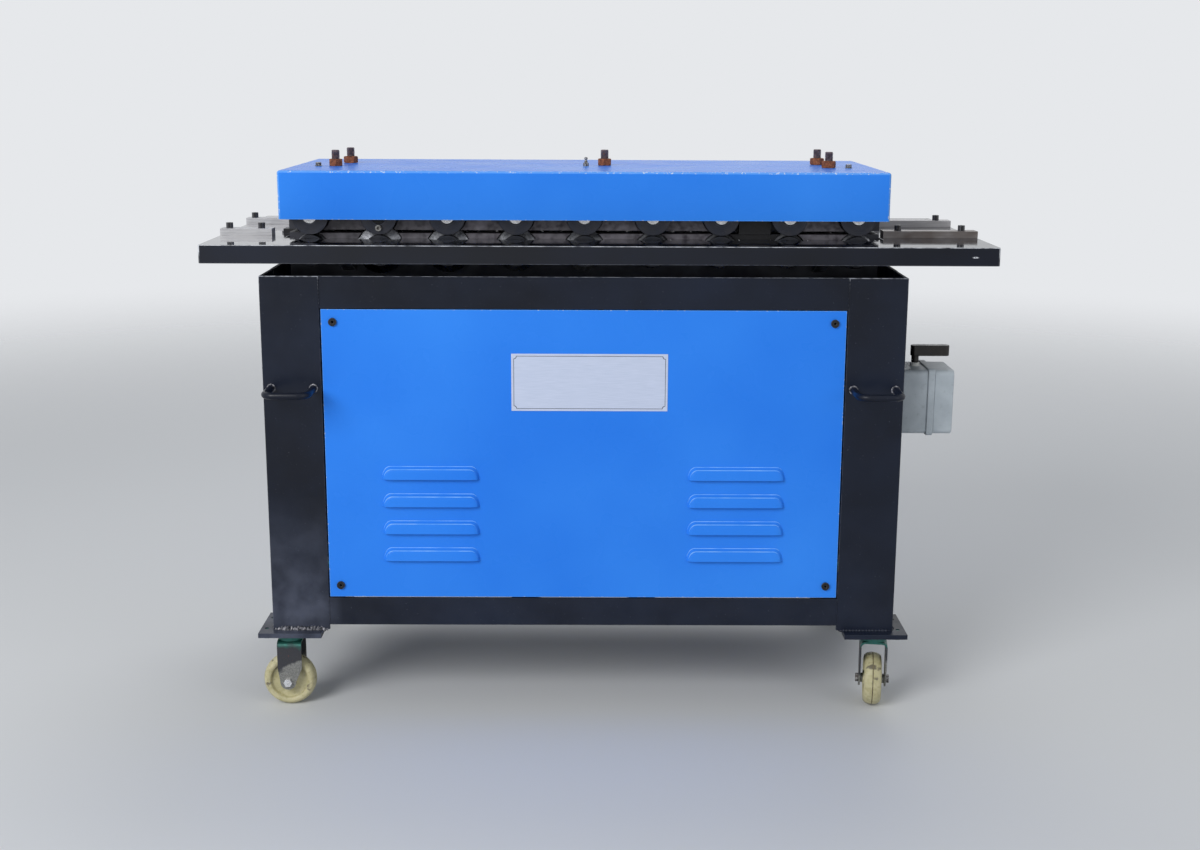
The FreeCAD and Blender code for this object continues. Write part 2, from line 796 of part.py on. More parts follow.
def louvre_hood(x, low, height, depth, half_length):
    """The solid hood of a louvre: its mouth below, three steps of its curved back and its closed top."""
    face = cabinet_front + panel_recess
    rings = []
    for part_up, part_out in louvre_curve:
        y = face - depth * part_out
        z = low + height * part_up
        top = half_length - louvre_depth
        rings.append([(x - half_length, face, z), (x - top, y, z), (x + top, y, z),
                      (x + half_length, face, z)])
    solids = []
    for lower, upper in zip(rings[:-1], rings[1:]):
        solids.append(Part.makeLoft([closed_wire(lower), closed_wire(upper)], True, True))
    left, front_left, front_right, right = rings[-1]
    top_left = (left[0], face, low + height)
    top_right = (right[0], face, low + height)
    sides = [[left, front_left, front_right, right], [front_left, front_right, top_right, top_left],
             [left, front_left, top_left], [front_right, right, top_right],
             [left, right, top_right, top_left]]
    faces = [Part.Face(closed_wire(side)) for side in sides]
    solids.append(Part.Solid(Part.Shell(faces)))
    return fused(*solids)


def louvre(x, top):
    """A pressed hood, open below: its outside, its hollow and the slot behind it."""
    face = cabinet_front + panel_recess
    low = top - louvre_height
    half_length = louvre_length / 2

    outer = louvre_hood(x, low, louvre_height, louvre_depth, half_length)
    inner = louvre_hood(x, low, louvre_height - louvre_wall, louvre_depth - louvre_wall,
                        half_length - louvre_wall)
    half_slot = half_length - louvre_depth
    slot = box(x - half_slot, x + half_slot, face - 1, face + panel_sheet + 1, low, top - louvre_lip)
    return outer, inner, slot


def panel():
    """The front panel: a flat sheet with two columns of louvres."""
    face = cabinet_front + panel_recess
    sheet = box(post_inner_left + panel_gap, post_inner_right - panel_gap, face, face + panel_sheet,
                bottom_rail_top + panel_gap, top_rail_low - panel_gap)
    for x, z in panel_screw_places():
        hole = rod(panel_screw_radius + stud_thread_gap, (x, face - 1, z), (x, face + panel_sheet + 1, z))
        sheet = sheet.cut(hole)
    hoods = []
    hollows = []
    for side in (-1, 1):
        for row in range(louvre_row_count):
            outer, inner, slot = louvre(head_centre + side * louvre_offset, louvre_top - row * louvre_pitch)
            hoods.append(outer)
            hollows += [inner, slot]
    sheet = sheet.fuse(hoods).removeSplitter()
    return sheet.cut(Part.makeCompound(hollows))


def square_tube(x, side, wall, low):
    """A square tube from the front rail to the rear rail."""
    reach = -rail_inner
    outer = box(x - side / 2, x + side / 2, -reach, reach, low, low + side)
    half_bore = side / 2 - wall
    inner = box(x - half_bore, x + half_bore, -reach - 1, reach + 1, low + wall, low + side - wall)
    return outer.cut(inner)


def cross_members():
    """Tubes that carry the head and the gear motor, and the brackets under the table."""
    pieces = []
    for x in (head_centre - tube_spread, head_centre + tube_spread):
        pieces.append(square_tube(x, tube_side, tube_wall, lower_plate_bottom - tube_side))
    for x in (drive_station - motor_tube_spread, drive_station + motor_tube_spread):
        pieces.append(square_tube(x, motor_tube_side, tube_wall, bottom_rail_low))
    brackets = []
    reach = -rail_inner - bracket_gap
    for x in (stations[0] + station_pitch / 2, stations[-1] - station_pitch / 2):
        x0 = x - bracket_width / 2
        points = [(0, -plate_face, table_under), (0, -reach, table_under),
                  (0, -reach, table_under - bracket_toe), (0, -plate_face, table_under - bracket_depth)]
        brackets.append(prism(points, (x0, 0, 0), (bracket_width, 0, 0)))
    return pieces + both_sides(brackets)


def bar_bend(x, y, side):
    """A quarter turn of the handle's round bar, from its leg to its grip. side is -1 at the left leg."""
    centre = FreeCAD.Vector(x - side * handle_bend, y + handle_bend, handle_height)
    start = FreeCAD.Vector(x, y + handle_bend, handle_height)
    section = Part.Face(Part.Wire(Part.makeCircle(handle_bar_radius, start, FreeCAD.Vector(0, 1, 0))))
    return section.revolve(centre, FreeCAD.Vector(0, 0, -side), 90)


def handles():
    """Bent round bars on the four posts."""
    front = []
    out = cabinet_front - handle_reach + handle_bar_radius
    for middle in (cabinet_left + post_leg / 2, cabinet_right - post_leg / 2):
        left = middle - handle_leg_spread / 2
        right = middle + handle_leg_spread / 2
        grip = rod(handle_bar_radius, (left + handle_bend, out, handle_height),
                   (right - handle_bend, out, handle_height))
        pieces = [grip]
        for x, side in ((left, -1), (right, 1)):
            pieces.append(bar_bend(x, out, side))
            pieces.append(rod(handle_bar_radius, (x, cabinet_front, handle_height),
                              (x, out + handle_bend, handle_height)))
        front.append(fused(*pieces))
    return both_sides(front)


def foot_places():
    """The middle of each foot plate, by corner."""
    left = cabinet_left - foot_plate_overhang + foot_plate_side / 2
    right = cabinet_right + foot_plate_overhang - foot_plate_side / 2
    front = cabinet_front - foot_plate_overhang + foot_plate_side / 2
    return {"front_left": (left, front), "front_right": (right, front),
            "rear_left": (left, -front), "rear_right": (right, -front)}


def caster_places():
    """The swivel axis of each caster: all are bolted a little outboard."""
    places = {}
    for corner, (x, y) in foot_places().items():
        places[corner] = (x + caster_shifts[corner.split("_")[1]], y)
    return places


def caster_bolt_places():
    """The x and y of a caster's four bolts about its swivel axis."""
    x, y = [spread / 2 for spread in caster_bolt_spread]
    return [(-x, -y), (-x, y), (x, -y), (x, y)]


def foot_plates():
    """The plates welded under the posts, with the holes of the caster bolts."""
    half = foot_plate_side / 2
    plates = []
    for (x, y), (turn_x, turn_y) in zip(foot_places().values(), caster_places().values()):
        plate = box(x - half, x + half, y - half, y + half, foot_plate_low, post_foot)
        for across, along in caster_bolt_places():
            start = (turn_x + across, turn_y + along, foot_plate_low - 1)
            plate = plate.cut(rod(caster_bolt_radius + stud_thread_gap, start, (*start[:2], post_foot + 1)))
        plates.append(plate)
    return plates


def caster_top():
    """A plate with its four bolts, and the fixed race and the kingpin under it."""
    length, width = caster_plate_size
    plate = box(-length / 2, length / 2, -width / 2, width / 2, caster_plate_low, foot_plate_low)
    race = rod(race_radius, (0, 0, race_low), (0, 0, caster_plate_low))
    head_top = crown_low - race_gap
    pin = rod(kingpin_radius, (0, 0, head_top), (0, 0, race_low))
    head = rod(kingpin_head_radius, (0, 0, head_top - kingpin_head_height), (0, 0, head_top))
    pieces = [plate, race, pin, head]
    for x, y in caster_bolt_places():
        pieces.append(rod(caster_bolt_radius, (x, y, caster_plate_low), (x, y, post_foot - caster_bolt_sink)))
        start = (x, y, caster_plate_low - caster_bolt_head)
        pieces.append(hexagon(caster_bolt_across, start, "z", caster_bolt_head))
    return fused(*pieces)


def caster_fork():
    """The swivelling fork: cup, pressed crown with two rounded cheeks, and the axle bolt. It trails to +X."""
    outer = fork_inner + fork_wall
    side = fork_half_length
    toe = fork_toe_radius
    cup = rod(cup_radius, (0, 0, cup_low), (0, 0, race_low - race_gap))

    def arch(half, top, corner):
        block = box(-side, side + caster_trail, -half, half, 0, top)
        upper = [e for e in block.Edges if min(v.Z for v in e.Vertexes) > top - 1 and
                 abs(e.Vertexes[0].X - e.Vertexes[1].X) > side]
        return block.makeFillet(corner, upper)

    pressed = arch(outer, cup_low, fork_corner).cut(arch(fork_inner, crown_low, fork_corner - fork_wall))
    points = [(-side, 0, cup_low), (side, 0, cup_low), (side, 0, fork_straight_low),
              (caster_trail + toe, 0, wheel_radius), (caster_trail - toe, 0, wheel_radius),
              (-side, 0, fork_straight_low)]
    outline = prism(points, (0, -outer, 0), (0, 2 * outer, 0))
    round_toe = rod(toe, (caster_trail, -outer, wheel_radius), (caster_trail, outer, wheel_radius))
    frame = fused(cup, pressed.common(fused(outline, round_toe)))
    frame = frame.cut(rod(kingpin_radius + shaft_running_gap, (0, 0, crown_low - 1), (0, 0, race_low)))
    axle = [rod(axle_radius, (caster_trail, -outer, wheel_radius), (caster_trail, outer, wheel_radius))]
    frame = frame.cut(axle[0])
    for y in (-outer - axle_head_height, outer):
        axle.append(hexagon(axle_head_across, (caster_trail, y, wheel_radius), "y", axle_head_height))
    hub = wheel_hub_width / 2 + axle_sleeve_gap
    for y0, y1 in ((-fork_inner, -hub), (hub, fork_inner)):
        axle.append(rod(axle_sleeve_radius, (caster_trail, y0, wheel_radius), (caster_trail, y1, wheel_radius)))
    return [frame, fused(*axle)]


def caster_wheel():
    """A nylon wheel with a recessed web and a rounded tread."""
    rim = wheel_width / 2
    web = wheel_web_width / 2
    hub = wheel_hub_width / 2
    bore = axle_radius + shaft_running_gap
    half = [(bore, hub), (wheel_hub_radius, hub), (wheel_hub_radius, web), (wheel_rim_inner, web),
            (wheel_rim_inner, rim)]
    for share in reversed(wheel_crown_steps):
        drop = wheel_crown * (1 - math.sqrt(1 - share ** 2))
        half.append((wheel_radius - drop, rim * share))
    profile = half + [(r, -y) for r, y in reversed(half)]
    return turned(profile, caster_trail, wheel_radius)


def gear_motor():
    """A foot-mounted worm reducer behind the chain, with its motor lying to the left."""
    back = sprocket_row + sprocket_thickness / 2 + reducer_gap
    x0 = drive_station - reducer_width / 2
    floor = motor_floor
    half_foot = motor_tube_spread + motor_tube_side / 2
    foot = box(drive_station - half_foot, drive_station + half_foot, back, back + reducer_depth, floor,
               floor + reducer_foot)
    housing = box(x0, x0 + reducer_width, back, back + reducer_depth, floor + reducer_foot,
                  floor + reducer_height)
    along = [e for e in housing.Edges if abs(e.Vertexes[0].Y - e.Vertexes[1].Y) > reducer_depth / 2
             and e.Vertexes[0].Z > floor + reducer_height / 2]
    housing = housing.makeFillet(reducer_corner, along)
    hole = rod(motor_output_radius + shaft_running_gap, (drive_station, back - 1, motor_output_height),
               (drive_station, back + reducer_depth + 1, motor_output_height))
    reducer = fused(foot, housing).cut(hole)
    y = back + reducer_depth / 2
    z = motor_output_height - worm_drop
    flange_end = x0 - motor_flange_thickness
    body_end = flange_end - motor_length
    flange = rod(motor_flange_radius, (x0, y, z), (flange_end, y, z))
    body = rod(motor_radius, (flange_end, y, z), (body_end, y, z))
    fins = []
    for i in range(fin_count):
        fin = box(body_end, flange_end, -fin_thickness / 2, fin_thickness / 2, motor_radius - fin_root,
                  motor_radius + fin_height)
        fin.rotate(FreeCAD.Vector(0, 0, 0), FreeCAD.Vector(1, 0, 0), 360.0 * i / fin_count)
        fin.translate(FreeCAD.Vector(0, y, z))
        fins.append(fin)
    fan = rod(fan_cover_radius, (body_end, y, z), (body_end - fan_cover_length, y, z))
    length, width, height = terminal_box
    middle = (flange_end + body_end) / 2
    box_low = z + motor_radius - terminal_box_sink
    terminals = box(middle - length / 2, middle + length / 2, y - width / 2, y + width / 2, box_low,
                    box_low + height)
    return [reducer, fused(flange, body, *fins, terminals), fan]


def motor_output():
    """The reducer's output shaft and its sprocket."""
    start = sprocket_row - sprocket_thickness / 2 - sprocket_hub_width
    end = sprocket_row + sprocket_thickness / 2 + reducer_gap + reducer_depth
    z = motor_output_height
    shaft = rod(motor_output_radius, (drive_station, start, z), (drive_station, end, z))
    return [shaft, sprocket(drive_station, z, motor_output_radius)]


def chain():
    """The roller chain: two rows of link plates, joined by the rollers along the straight runs."""
    outer = chain_radius + chain_plate_height / 2
    inner = chain_radius - chain_plate_height / 2
    x = drive_station
    low = motor_output_height
    high = lower_axis

    def loop(radius, y0, y1):
        return fused(rod(radius, (x, y0, low), (x, y1, low)), rod(radius, (x, y0, high), (x, y1, high)),
                     box(x - radius, x + radius, y0, y1, low, high))

    pieces = []
    for side in (-1, 1):
        near = sprocket_row + side * chain_inner_width / 2
        far = near + side * chain_plate_thickness
        y0, y1 = min(near, far), max(near, far)
        pieces.append(loop(outer, y0, y1).cut(loop(inner, y0 - 1, y1 + 1)))
        roller_x = x + side * chain_radius
        pieces.append(box(roller_x - chain_roller_height / 2, roller_x + chain_roller_height / 2,
                          sprocket_row - chain_inner_width / 2, sprocket_row + chain_inner_width / 2,
                          low + chain_clear_of_teeth, high - chain_clear_of_teeth))
    return fused(*pieces)


def switch_box():
    """The switch's base with its flange and bush, and its cover."""
    front = switch_row - switch_depth / 2
    back = switch_row + switch_depth / 2
    top = switch_bottom + switch_height
    wall = cabinet_right

    def block(x0, x1, lip):
        body = box(x0, x1, front - lip, back + lip, switch_bottom - lip, top + lip)
        along = [e for e in body.Edges if abs(e.Vertexes[0].X - e.Vertexes[1].X) > (x1 - x0) / 2]
        return body.makeFillet(switch_corner, along)

    split = wall + switch_base_width
    base = block(wall, split, 0)
    x = wall + lever_axis_offset
    bush = rod(switch_bush_radius, (x, switch_row, top - 1), (x, switch_row, top + switch_bush_height))
    bore = rod(lever_spindle_radius + lever_running_gap, (x, switch_row, top - lever_spindle_depth),
               (x, switch_row, top + switch_bush_height + 1))
    base = fused(base, bush).cut(bore)
    rim = block(split, split + switch_flange_width, switch_flange_lip)
    face = block(split + switch_flange_width, split + switch_flange_width + switch_cover_width, 0)
    return base, fused(rim, face)


def switch_lever():
    """The switch's handle on its spindle."""
    x = cabinet_right + lever_axis_offset
    top = switch_bottom + switch_height
    low = top + switch_bush_height + lever_gap
    grip = box(x - lever_heel, x - lever_heel + lever_length, switch_row - lever_width / 2,
               switch_row + lever_width / 2, low, low + lever_height)
    upright = [e for e in grip.Edges if abs(e.Vertexes[0].Z - e.Vertexes[1].Z) > lever_height / 2]
    grip = grip.makeFillet(lever_corner, upright)
    spindle_end = top - lever_spindle_depth + spindle_end_gap
    spindle = rod(lever_spindle_radius, (x, switch_row, spindle_end), (x, switch_row, low))
    collar_low = top + switch_bush_height + lever_collar_gap
    collar = rod(lever_collar_radius, (x, switch_row, collar_low), (x, switch_row, low))
    return fused(grip, collar, spindle)


def build():
    """Write every sub-part."""
    os.makedirs("parts", exist_ok=True)
    lower_bores = [(x, shaft_radius) for x in stations]
    lower_bores += [(x + station_pitch / 2, idler_shaft_radius) for x in stations[:-1]]
    upper_bores = [(x, shaft_radius) for x in stations]
    lower_plate = bearing_plate(lower_plate_bottom, lower_plate_top, lower_axis, lower_bores)
    upper_plate = bearing_plate(upper_plate_bottom, upper_plate_top, upper_axis, upper_bores)
    front_panel = panel()
    base, cover = switch_box()
    save("corner_posts", corner_posts())
    save("frame_rails", frame_rails())
    save("side_sheets", side_sheets())
    save("cross_members", cross_members())
    save("foot_plates", foot_plates())
    save("front_panel", [front_panel])
    save("rear_panel", [mirrored(front_panel)])
    save("handles", handles())
    save("table_top", [table()])
    save("guide_bars", guide_bars())
    save("socket_screws", guide_screws() + panel_screws())
    save("lower_bearing_plates", both_sides([lower_plate]))
    save("upper_bearing_plates", both_sides([upper_plate]))
    save("head_spacers", head_spacers())
    save("guide_blocks", guide_blocks())
    save("head_cover", [head_cover()])
    save("pressure_studs", studs())
    save("jam_nuts", jam_nuts())
    save("cover_fixings", cover_fixings())
    save("gear_motor", gear_motor())
    save("motor_output", motor_output())
    save("drive_chain", [chain()])
    save("switch_base", [base])
    save("switch_cover", [cover])
    save("switch_lever", [switch_lever()])
    for i in range(station_count):
        save("lower_roll_shaft_" + str(i + 1), roll_shaft(i, False))
        save("upper_roll_shaft_" + str(i + 1), roll_shaft(i, True))
    for i in range(station_count - 1):
        save("idler_gear_" + str(i + 1), idler(i))
    tops = []
    fork = caster_fork()
    wheel = caster_wheel()
    for corner, (x, y) in caster_places().items():
        angle = caster_turn[corner]
        tops.append(placed(caster_top(), 0, x, y))
        save("caster_fork_" + corner, [placed(piece, angle, x, y) for piece in fork])
        save("caster_wheel_" + corner, [placed(wheel, angle, x, y)])
    save("caster_tops", tops)


build()
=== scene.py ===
import json
import math

import bmesh
import bpy
import numpy as np
from mathutils import Matrix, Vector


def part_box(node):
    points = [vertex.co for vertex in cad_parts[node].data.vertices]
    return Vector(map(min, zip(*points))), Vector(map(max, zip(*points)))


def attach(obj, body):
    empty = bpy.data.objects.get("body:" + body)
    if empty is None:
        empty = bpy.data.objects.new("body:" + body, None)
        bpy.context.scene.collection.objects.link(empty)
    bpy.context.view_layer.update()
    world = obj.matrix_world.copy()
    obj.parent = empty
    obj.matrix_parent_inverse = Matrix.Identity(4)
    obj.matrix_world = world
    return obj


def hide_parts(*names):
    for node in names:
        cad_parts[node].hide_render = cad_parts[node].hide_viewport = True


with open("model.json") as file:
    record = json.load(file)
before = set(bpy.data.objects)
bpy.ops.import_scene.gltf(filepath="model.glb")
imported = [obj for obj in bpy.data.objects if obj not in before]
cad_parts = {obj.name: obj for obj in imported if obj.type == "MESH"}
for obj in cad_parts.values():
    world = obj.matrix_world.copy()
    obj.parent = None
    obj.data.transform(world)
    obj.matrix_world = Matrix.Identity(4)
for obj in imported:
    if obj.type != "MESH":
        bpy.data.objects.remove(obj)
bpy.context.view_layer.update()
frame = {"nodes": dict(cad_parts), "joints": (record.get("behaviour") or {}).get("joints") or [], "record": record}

# Everything is in metres, with +X along the table, +Y to the back and +Z up
mm = 0.001

# Faces that meet at more than this many degrees keep a crease
crease = 35

# The roll stations and the casters
station_count = 9
station_pitch = 126 * mm
head_centre = -28 * mm
lower_axis = 864.5 * mm
upper_axis = 927.5 * mm
first_station = head_centre - station_pitch * (station_count - 1) / 2
roll_face = 187 * mm
left_casters = -586 * mm
right_casters = 528 * mm

# The camera stands where the photograph was taken from. Angles are in degrees, the lens in millimetres
camera_place = (-14.1 * mm, -3047.9 * mm, 1172.9 * mm)
camera_pitch = -12.535
camera_yaw = -0.329
camera_roll = 0.259
camera_lens = 46.53

# Louvres pressed into the panels
louvre_offset = 282 * mm
louvre_top = 477 * mm
louvre_pitch = 52 * mm
louvre_rows = 4
louvre_length = 180 * mm
louvre_height = 24 * mm
louvre_depth = 9 * mm
louvre_wall = 1.6 * mm
panel_sheet = 3 * mm

node_body = {}
for body_name, members in frame["record"]["behaviour"]["bodies"].items():
    for member in members:
        node_body[member] = body_name


def quads(number):
    """The corner numbers of every cell in a grid of point numbers."""
    return np.stack([number[:-1, :-1], number[:-1, 1:], number[1:, 1:], number[1:, :-1]], axis=-1)


def full_turn(sides):
    """The angles of equal steps round a circle."""
    return np.linspace(0, 2 * math.pi, sides, endpoint=False)


def grid_shape(grid, wrap_rows=False, wrap_columns=False):
    """The faces between neighbours of a grid of points, rows by columns by 3. A wrapped direction closes
    on itself."""
    rows, columns = grid.shape[:2]
    number = np.arange(rows * columns).reshape(rows, columns)
    if wrap_rows:
        number = np.concatenate([number, number[:1]], axis=0)
    if wrap_columns:
        number = np.concatenate([number, number[:, :1]], axis=1)
    return grid.reshape(-1, 3), list(quads(number).reshape(-1, 4))


def joined(shapes):
    """Several shapes as one: their points one after another, and their faces counted on."""
    points = []
    faces = []
    count = 0
    for some_points, some_faces in shapes:
        points.append(some_points)
        faces += [np.asarray(f) + count for f in some_faces]
        count += len(some_points)
    return np.concatenate(points), faces


def moved(shape, place):
    """A shape shifted to a place."""
    points, faces = shape
    return points + np.array(place, float), faces


def pointed(shape, axis):
    """A shape built about Z, turned so that its Z runs along the given axis."""
    points, faces = shape
    to = np.array(axis, float)
    to /= np.linalg.norm(to)
    side = np.cross(to, (0, 0, 1.0))
    if np.linalg.norm(side) < 1e-6:
        side = np.array((1.0, 0, 0))
    side /= np.linalg.norm(side)
    return points @ np.array([side, np.cross(to, side), to]), faces


def lathe_shape(profile, sides):
    """A profile of (radius, height) turned about Z: x = r cos a, y = r sin a, z = height. A radius of 0
    is a pole."""
    profile = np.asarray(profile, float)
    angle = full_turn(sides)
    radius = profile[:, :1]
    height = np.broadcast_to(profile[:, 1:], (len(profile), sides))
    grid = np.stack([radius * np.cos(angle), radius * np.sin(angle), height], axis=-1)
    return grid_shape(grid, wrap_columns=True)


def hexagon_shape(across, height, bore=0.0, turn=0.0):
    """A hexagonal nut or head whose corners are turned off at both ends. At an angle a from the middle of
    a flat the side stands at r = (across / 2) / cos a, and the turned ends cut in by (r - across / 2 +
    chamfer) tan 30 there, so the rim dips towards each corner."""
    chamfer = 0.4 * mm
    sides = 72
    angle = full_turn(sides)
    from_flat = (angle + math.pi / 6) % (math.pi / 3) - math.pi / 6
    side = across / 2 / np.cos(from_flat)
    dip = (side - across / 2 + chamfer) * math.tan(math.radians(30))
    flat = np.zeros(sides)
    ring = flat + across / 2 - chamfer
    hole = flat + bore
    rows = [(hole, flat), (ring, flat), (side, dip),
            (side, height - dip), (ring, flat + height), (hole, flat + height)]
    grid = np.array([[r * np.cos(angle + turn), r * np.sin(angle + turn), z] for r, z in rows])
    return grid_shape(grid.transpose(0, 2, 1), wrap_rows=bore > 0, wrap_columns=True)


def thread_shape(radius, depth, pitch, low, start, high):
    """A stud: plain below start and threaded above it. In the thread r = radius - depth |2 f - 1|, where
    f is the part of a turn left of height / pitch - angle / (2 pi), and most of the last pitch is turned
    down."""
    sides = 24
    rows_per_turn = 8
    turned_down = 0.7 * pitch
    threaded = np.linspace(start, high, int((high - start) / pitch * rows_per_turn) + 1)
    height = np.concatenate([[low, low, start], threaded, [high]])[:, None]
    angle = full_turn(sides)[None, :]
    wave = np.abs(2 * ((height / pitch - angle / (2 * math.pi)) % 1.0) - 1)
    cut = np.where(height > start, depth * wave, 0.0)
    size = np.minimum(radius - cut, radius - np.clip(height - (high - turned_down), 0, None))
    size[0] = 0.0
    size[-1] = 0.0
    grid = np.stack([size * np.cos(angle), size * np.sin(angle), height + 0 * angle], axis=-1)
    return grid_shape(grid, wrap_columns=True)


def swept_shape(path, radius, sides):
    """A round section carried along a path: centre + radius (cos a, sin a) across the path. The frame is
    handed on from point to point, so it does not twist, and the ends close on their centres."""
    path = np.asarray(path, float)
    run = np.gradient(path, axis=0)
    run /= np.linalg.norm(run, axis=1, keepdims=True)
    first = np.cross(run[0], (0.1, 0.3, 1.0))
    across = [first / np.linalg.norm(first)]
    for direction in run[1:]:
        turned = across[-1] - direction * np.dot(across[-1], direction)
        across.append(turned / np.linalg.norm(turned))
    across = np.array(across)
    upright = np.cross(run, across)
    angle = full_turn(sides)[None, :, None]
    size = np.broadcast_to(np.asarray(radius, float), len(path))
    path = np.concatenate([path[:1], path, path[-1:]])
    across = np.concatenate([across[:1], across, across[-1:]])
    upright = np.concatenate([upright[:1], upright, upright[-1:]])
    size = np.concatenate([[0.0], size, [0.0]])[:, None, None]
    grid = path[:, None] + size * (np.cos(angle) * across[:, None] + np.sin(angle) * upright[:, None])
    return grid_shape(grid, wrap_columns=True)


def rounded_path(corners, bend, steps=10):
    """A path through corners, each rounded by an arc with the given radius between its two tangent
    points."""
    corners = np.asarray(corners, float)
    path = [corners[:1]]
    for before, corner, after in zip(corners[:-2], corners[1:-1], corners[2:]):
        a = (before - corner) / np.linalg.norm(before - corner)
        b = (after - corner) / np.linalg.norm(after - corner)
        half = math.acos(np.clip(a @ b, -1, 1)) / 2
        centre = corner + (a + b) / np.linalg.norm(a + b) * bend / math.sin(half)
        start = corner + a * bend / math.tan(half) - centre
        end = corner + b * bend / math.tan(half) - centre
        sweep = math.pi - 2 * half
        t = np.linspace(0, 1, steps)[:, None]
        path.append(centre + (np.sin((1 - t) * sweep) * start + np.sin(t * sweep) * end) / math.sin(sweep))
    path.append(corners[-1:])
    return np.concatenate(path)


def plate_shape(outline, thickness):
    """A flat plate: a closed outline of (x, z) points pushed back along +Y by its thickness."""
    outline = np.asarray(outline, float)
    count = len(outline)
    planes = [np.stack([outline[:, 0], np.full(count, y), outline[:, 1]], axis=-1) for y in (0.0, thickness)]
    points, faces = grid_shape(np.stack(planes), wrap_columns=True)
    return points, faces + [np.arange(count)[::-1], np.arange(count, 2 * count)]


def in_scene(name, data):
    """A new object with this data, at the origin of the scene."""
    made = bpy.data.objects.new(name, data)
    bpy.context.scene.collection.objects.link(made)
    return made


def finish_mesh(made, material, body, edge, segments, sharp):
    """Gives a piece its material, soft edges and smooth faces, and lets it ride on its body."""
    mesh = made.data
    mesh.materials.clear()
    for one in material if isinstance(material, list) else [material]:
        mesh.materials.append(one)
    mesh.shade_smooth()
    mesh.set_sharp_from_angle(angle=math.radians(sharp))
    if edge:
        bevel = made.modifiers.new("soft_edges", "BEVEL")
        bevel.width = edge
        bevel.segments = segments
        bevel.limit_method = "ANGLE"
        bevel.angle_limit = math.radians(sharp)
        weighted = made.modifiers.new("flat_faces", "WEIGHTED_NORMAL")
        weighted.keep_sharp = True
    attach(made, body)


def new_piece(name, shape, material, node_name, edge=0.0, sharp=crease, stands_for=False):
    """A new piece made from a shape: its coinciding points are joined and its faces turned outwards. It
    rides on the body of a CAD node, and it may stand for the node. edge is the width of its rounded
    edges, and sharp the angle in degrees over which it keeps a crease."""
    same_point = 2e-6
    no_length = 1e-7
    points, faces = shape
    mesh = bpy.data.meshes.new(name)
    mesh.from_pydata(np.asarray(points).tolist(), [], [np.asarray(f).tolist() for f in faces])
    work = bmesh.new()
    work.from_mesh(mesh)
    bmesh.ops.remove_doubles(work, verts=work.verts, dist=same_point)
    bmesh.ops.dissolve_degenerate(work, edges=work.edges, dist=no_length)
    bmesh.ops.recalc_face_normals(work, faces=work.faces)
    work.to_mesh(mesh)
    work.free()
    made = in_scene(name, mesh)
    finish_mesh(made, material, node_body[node_name], edge, 2, sharp)
    if stands_for:
        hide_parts(node_name)


def dressed(node_name, material, edge, segments=2, pick=None):
    """A copy of a CAD node with its edges broken, which stands for it. pick gives each face its
    material's number."""
    same_point = 3e-6
    flat_within = math.radians(0.6)
    made = in_scene(node_name + "_finished", frame["nodes"][node_name].data.copy())
    mesh = made.data
    work = bmesh.new()
    work.from_mesh(mesh)
    bmesh.ops.remove_doubles(work, verts=work.verts, dist=same_point)
    bmesh.ops.dissolve_limit(work, angle_limit=flat_within, verts=work.verts, edges=work.edges)
    work.to_mesh(mesh)
    work.free()
    finish_mesh(made, material, node_body[node_name], edge, segments, crease)
    if pick:
        centre = np.empty(len(mesh.polygons) * 3)
        mesh.polygons.foreach_get("center", centre)
        mesh.polygons.foreach_set("material_index", pick(centre.reshape(-1, 3)).astype(np.int32))
    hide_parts(node_name)


def solids(node_name):
    """The lowest and highest corners of each solid of a CAD node: faces that share a corner belong
    together. Corners within a hundredth of a millimetre count as one."""
    mesh = frame["nodes"][node_name].data
    points = np.empty(len(mesh.vertices) * 3)
    mesh.vertices.foreach_get("co", points)
    corners = np.empty(len(mesh.polygons) * 3, np.int32)
    mesh.polygons.foreach_get("vertices", corners)
    places, label = np.unique(np.round(points.reshape(-1, 3) * 1e5), axis=0, return_inverse=True)
    triangles = label.reshape(-1)[corners].reshape(-1, 3)
    group = np.arange(len(places))
    settled = False
    while not settled:
        spread = group.copy()
        np.minimum.at(spread, triangles.ravel(), np.repeat(group[triangles].min(1), 3))
        spread = spread[spread]
        settled = bool((spread == group).all())
        group = spread
    members = [places[group == one] for one in np.unique(group)]
    return [(some.min(0) * 1e-5, some.max(0) * 1e-5) for some in members]


def linear(hex_colour):
    """An sRGB hex colour as the linear red, green and blue that a shader takes."""
    parts = [int(hex_colour[i:i + 2], 16) / 255 for i in (1, 3, 5)]
    return tuple(p / 12.92 if p <= 0.04045 else ((p + 0.055) / 1.055) ** 2.4 for p in parts) + (1.0,)


def add(tree, kind, inputs=None, output=0, to=None, **settings):
    """Adds a node. Settings are its properties, inputs the values, hex colours or sockets that go into
    it, and to is the socket that its output goes into."""
    made = tree.nodes.new("ShaderNode" + kind)
    for name, value in settings.items():
        setattr(made, name, value)
    for name, value in (inputs or {}).items():
        if isinstance(value, bpy.types.NodeSocket):
            tree.links.new(value, made.inputs[name])
        else:
            made.inputs[name].default_value = linear(value) if isinstance(value, str) else value
    if to:
        tree.links.new(made.outputs[output], to)
    return made.outputs[output]


def new_material(name, values):
    """A material, with what is the same all over set on its shader's own sockets."""
    made = bpy.data.materials.new(name)
    made.use_nodes = True
    tree = made.node_tree
    shader = tree.nodes["Principled BSDF"].inputs
    for socket, value in values.items():
        shader[socket].default_value = value
    return made, tree, shader, add(tree, "TexCoord", output="Object")


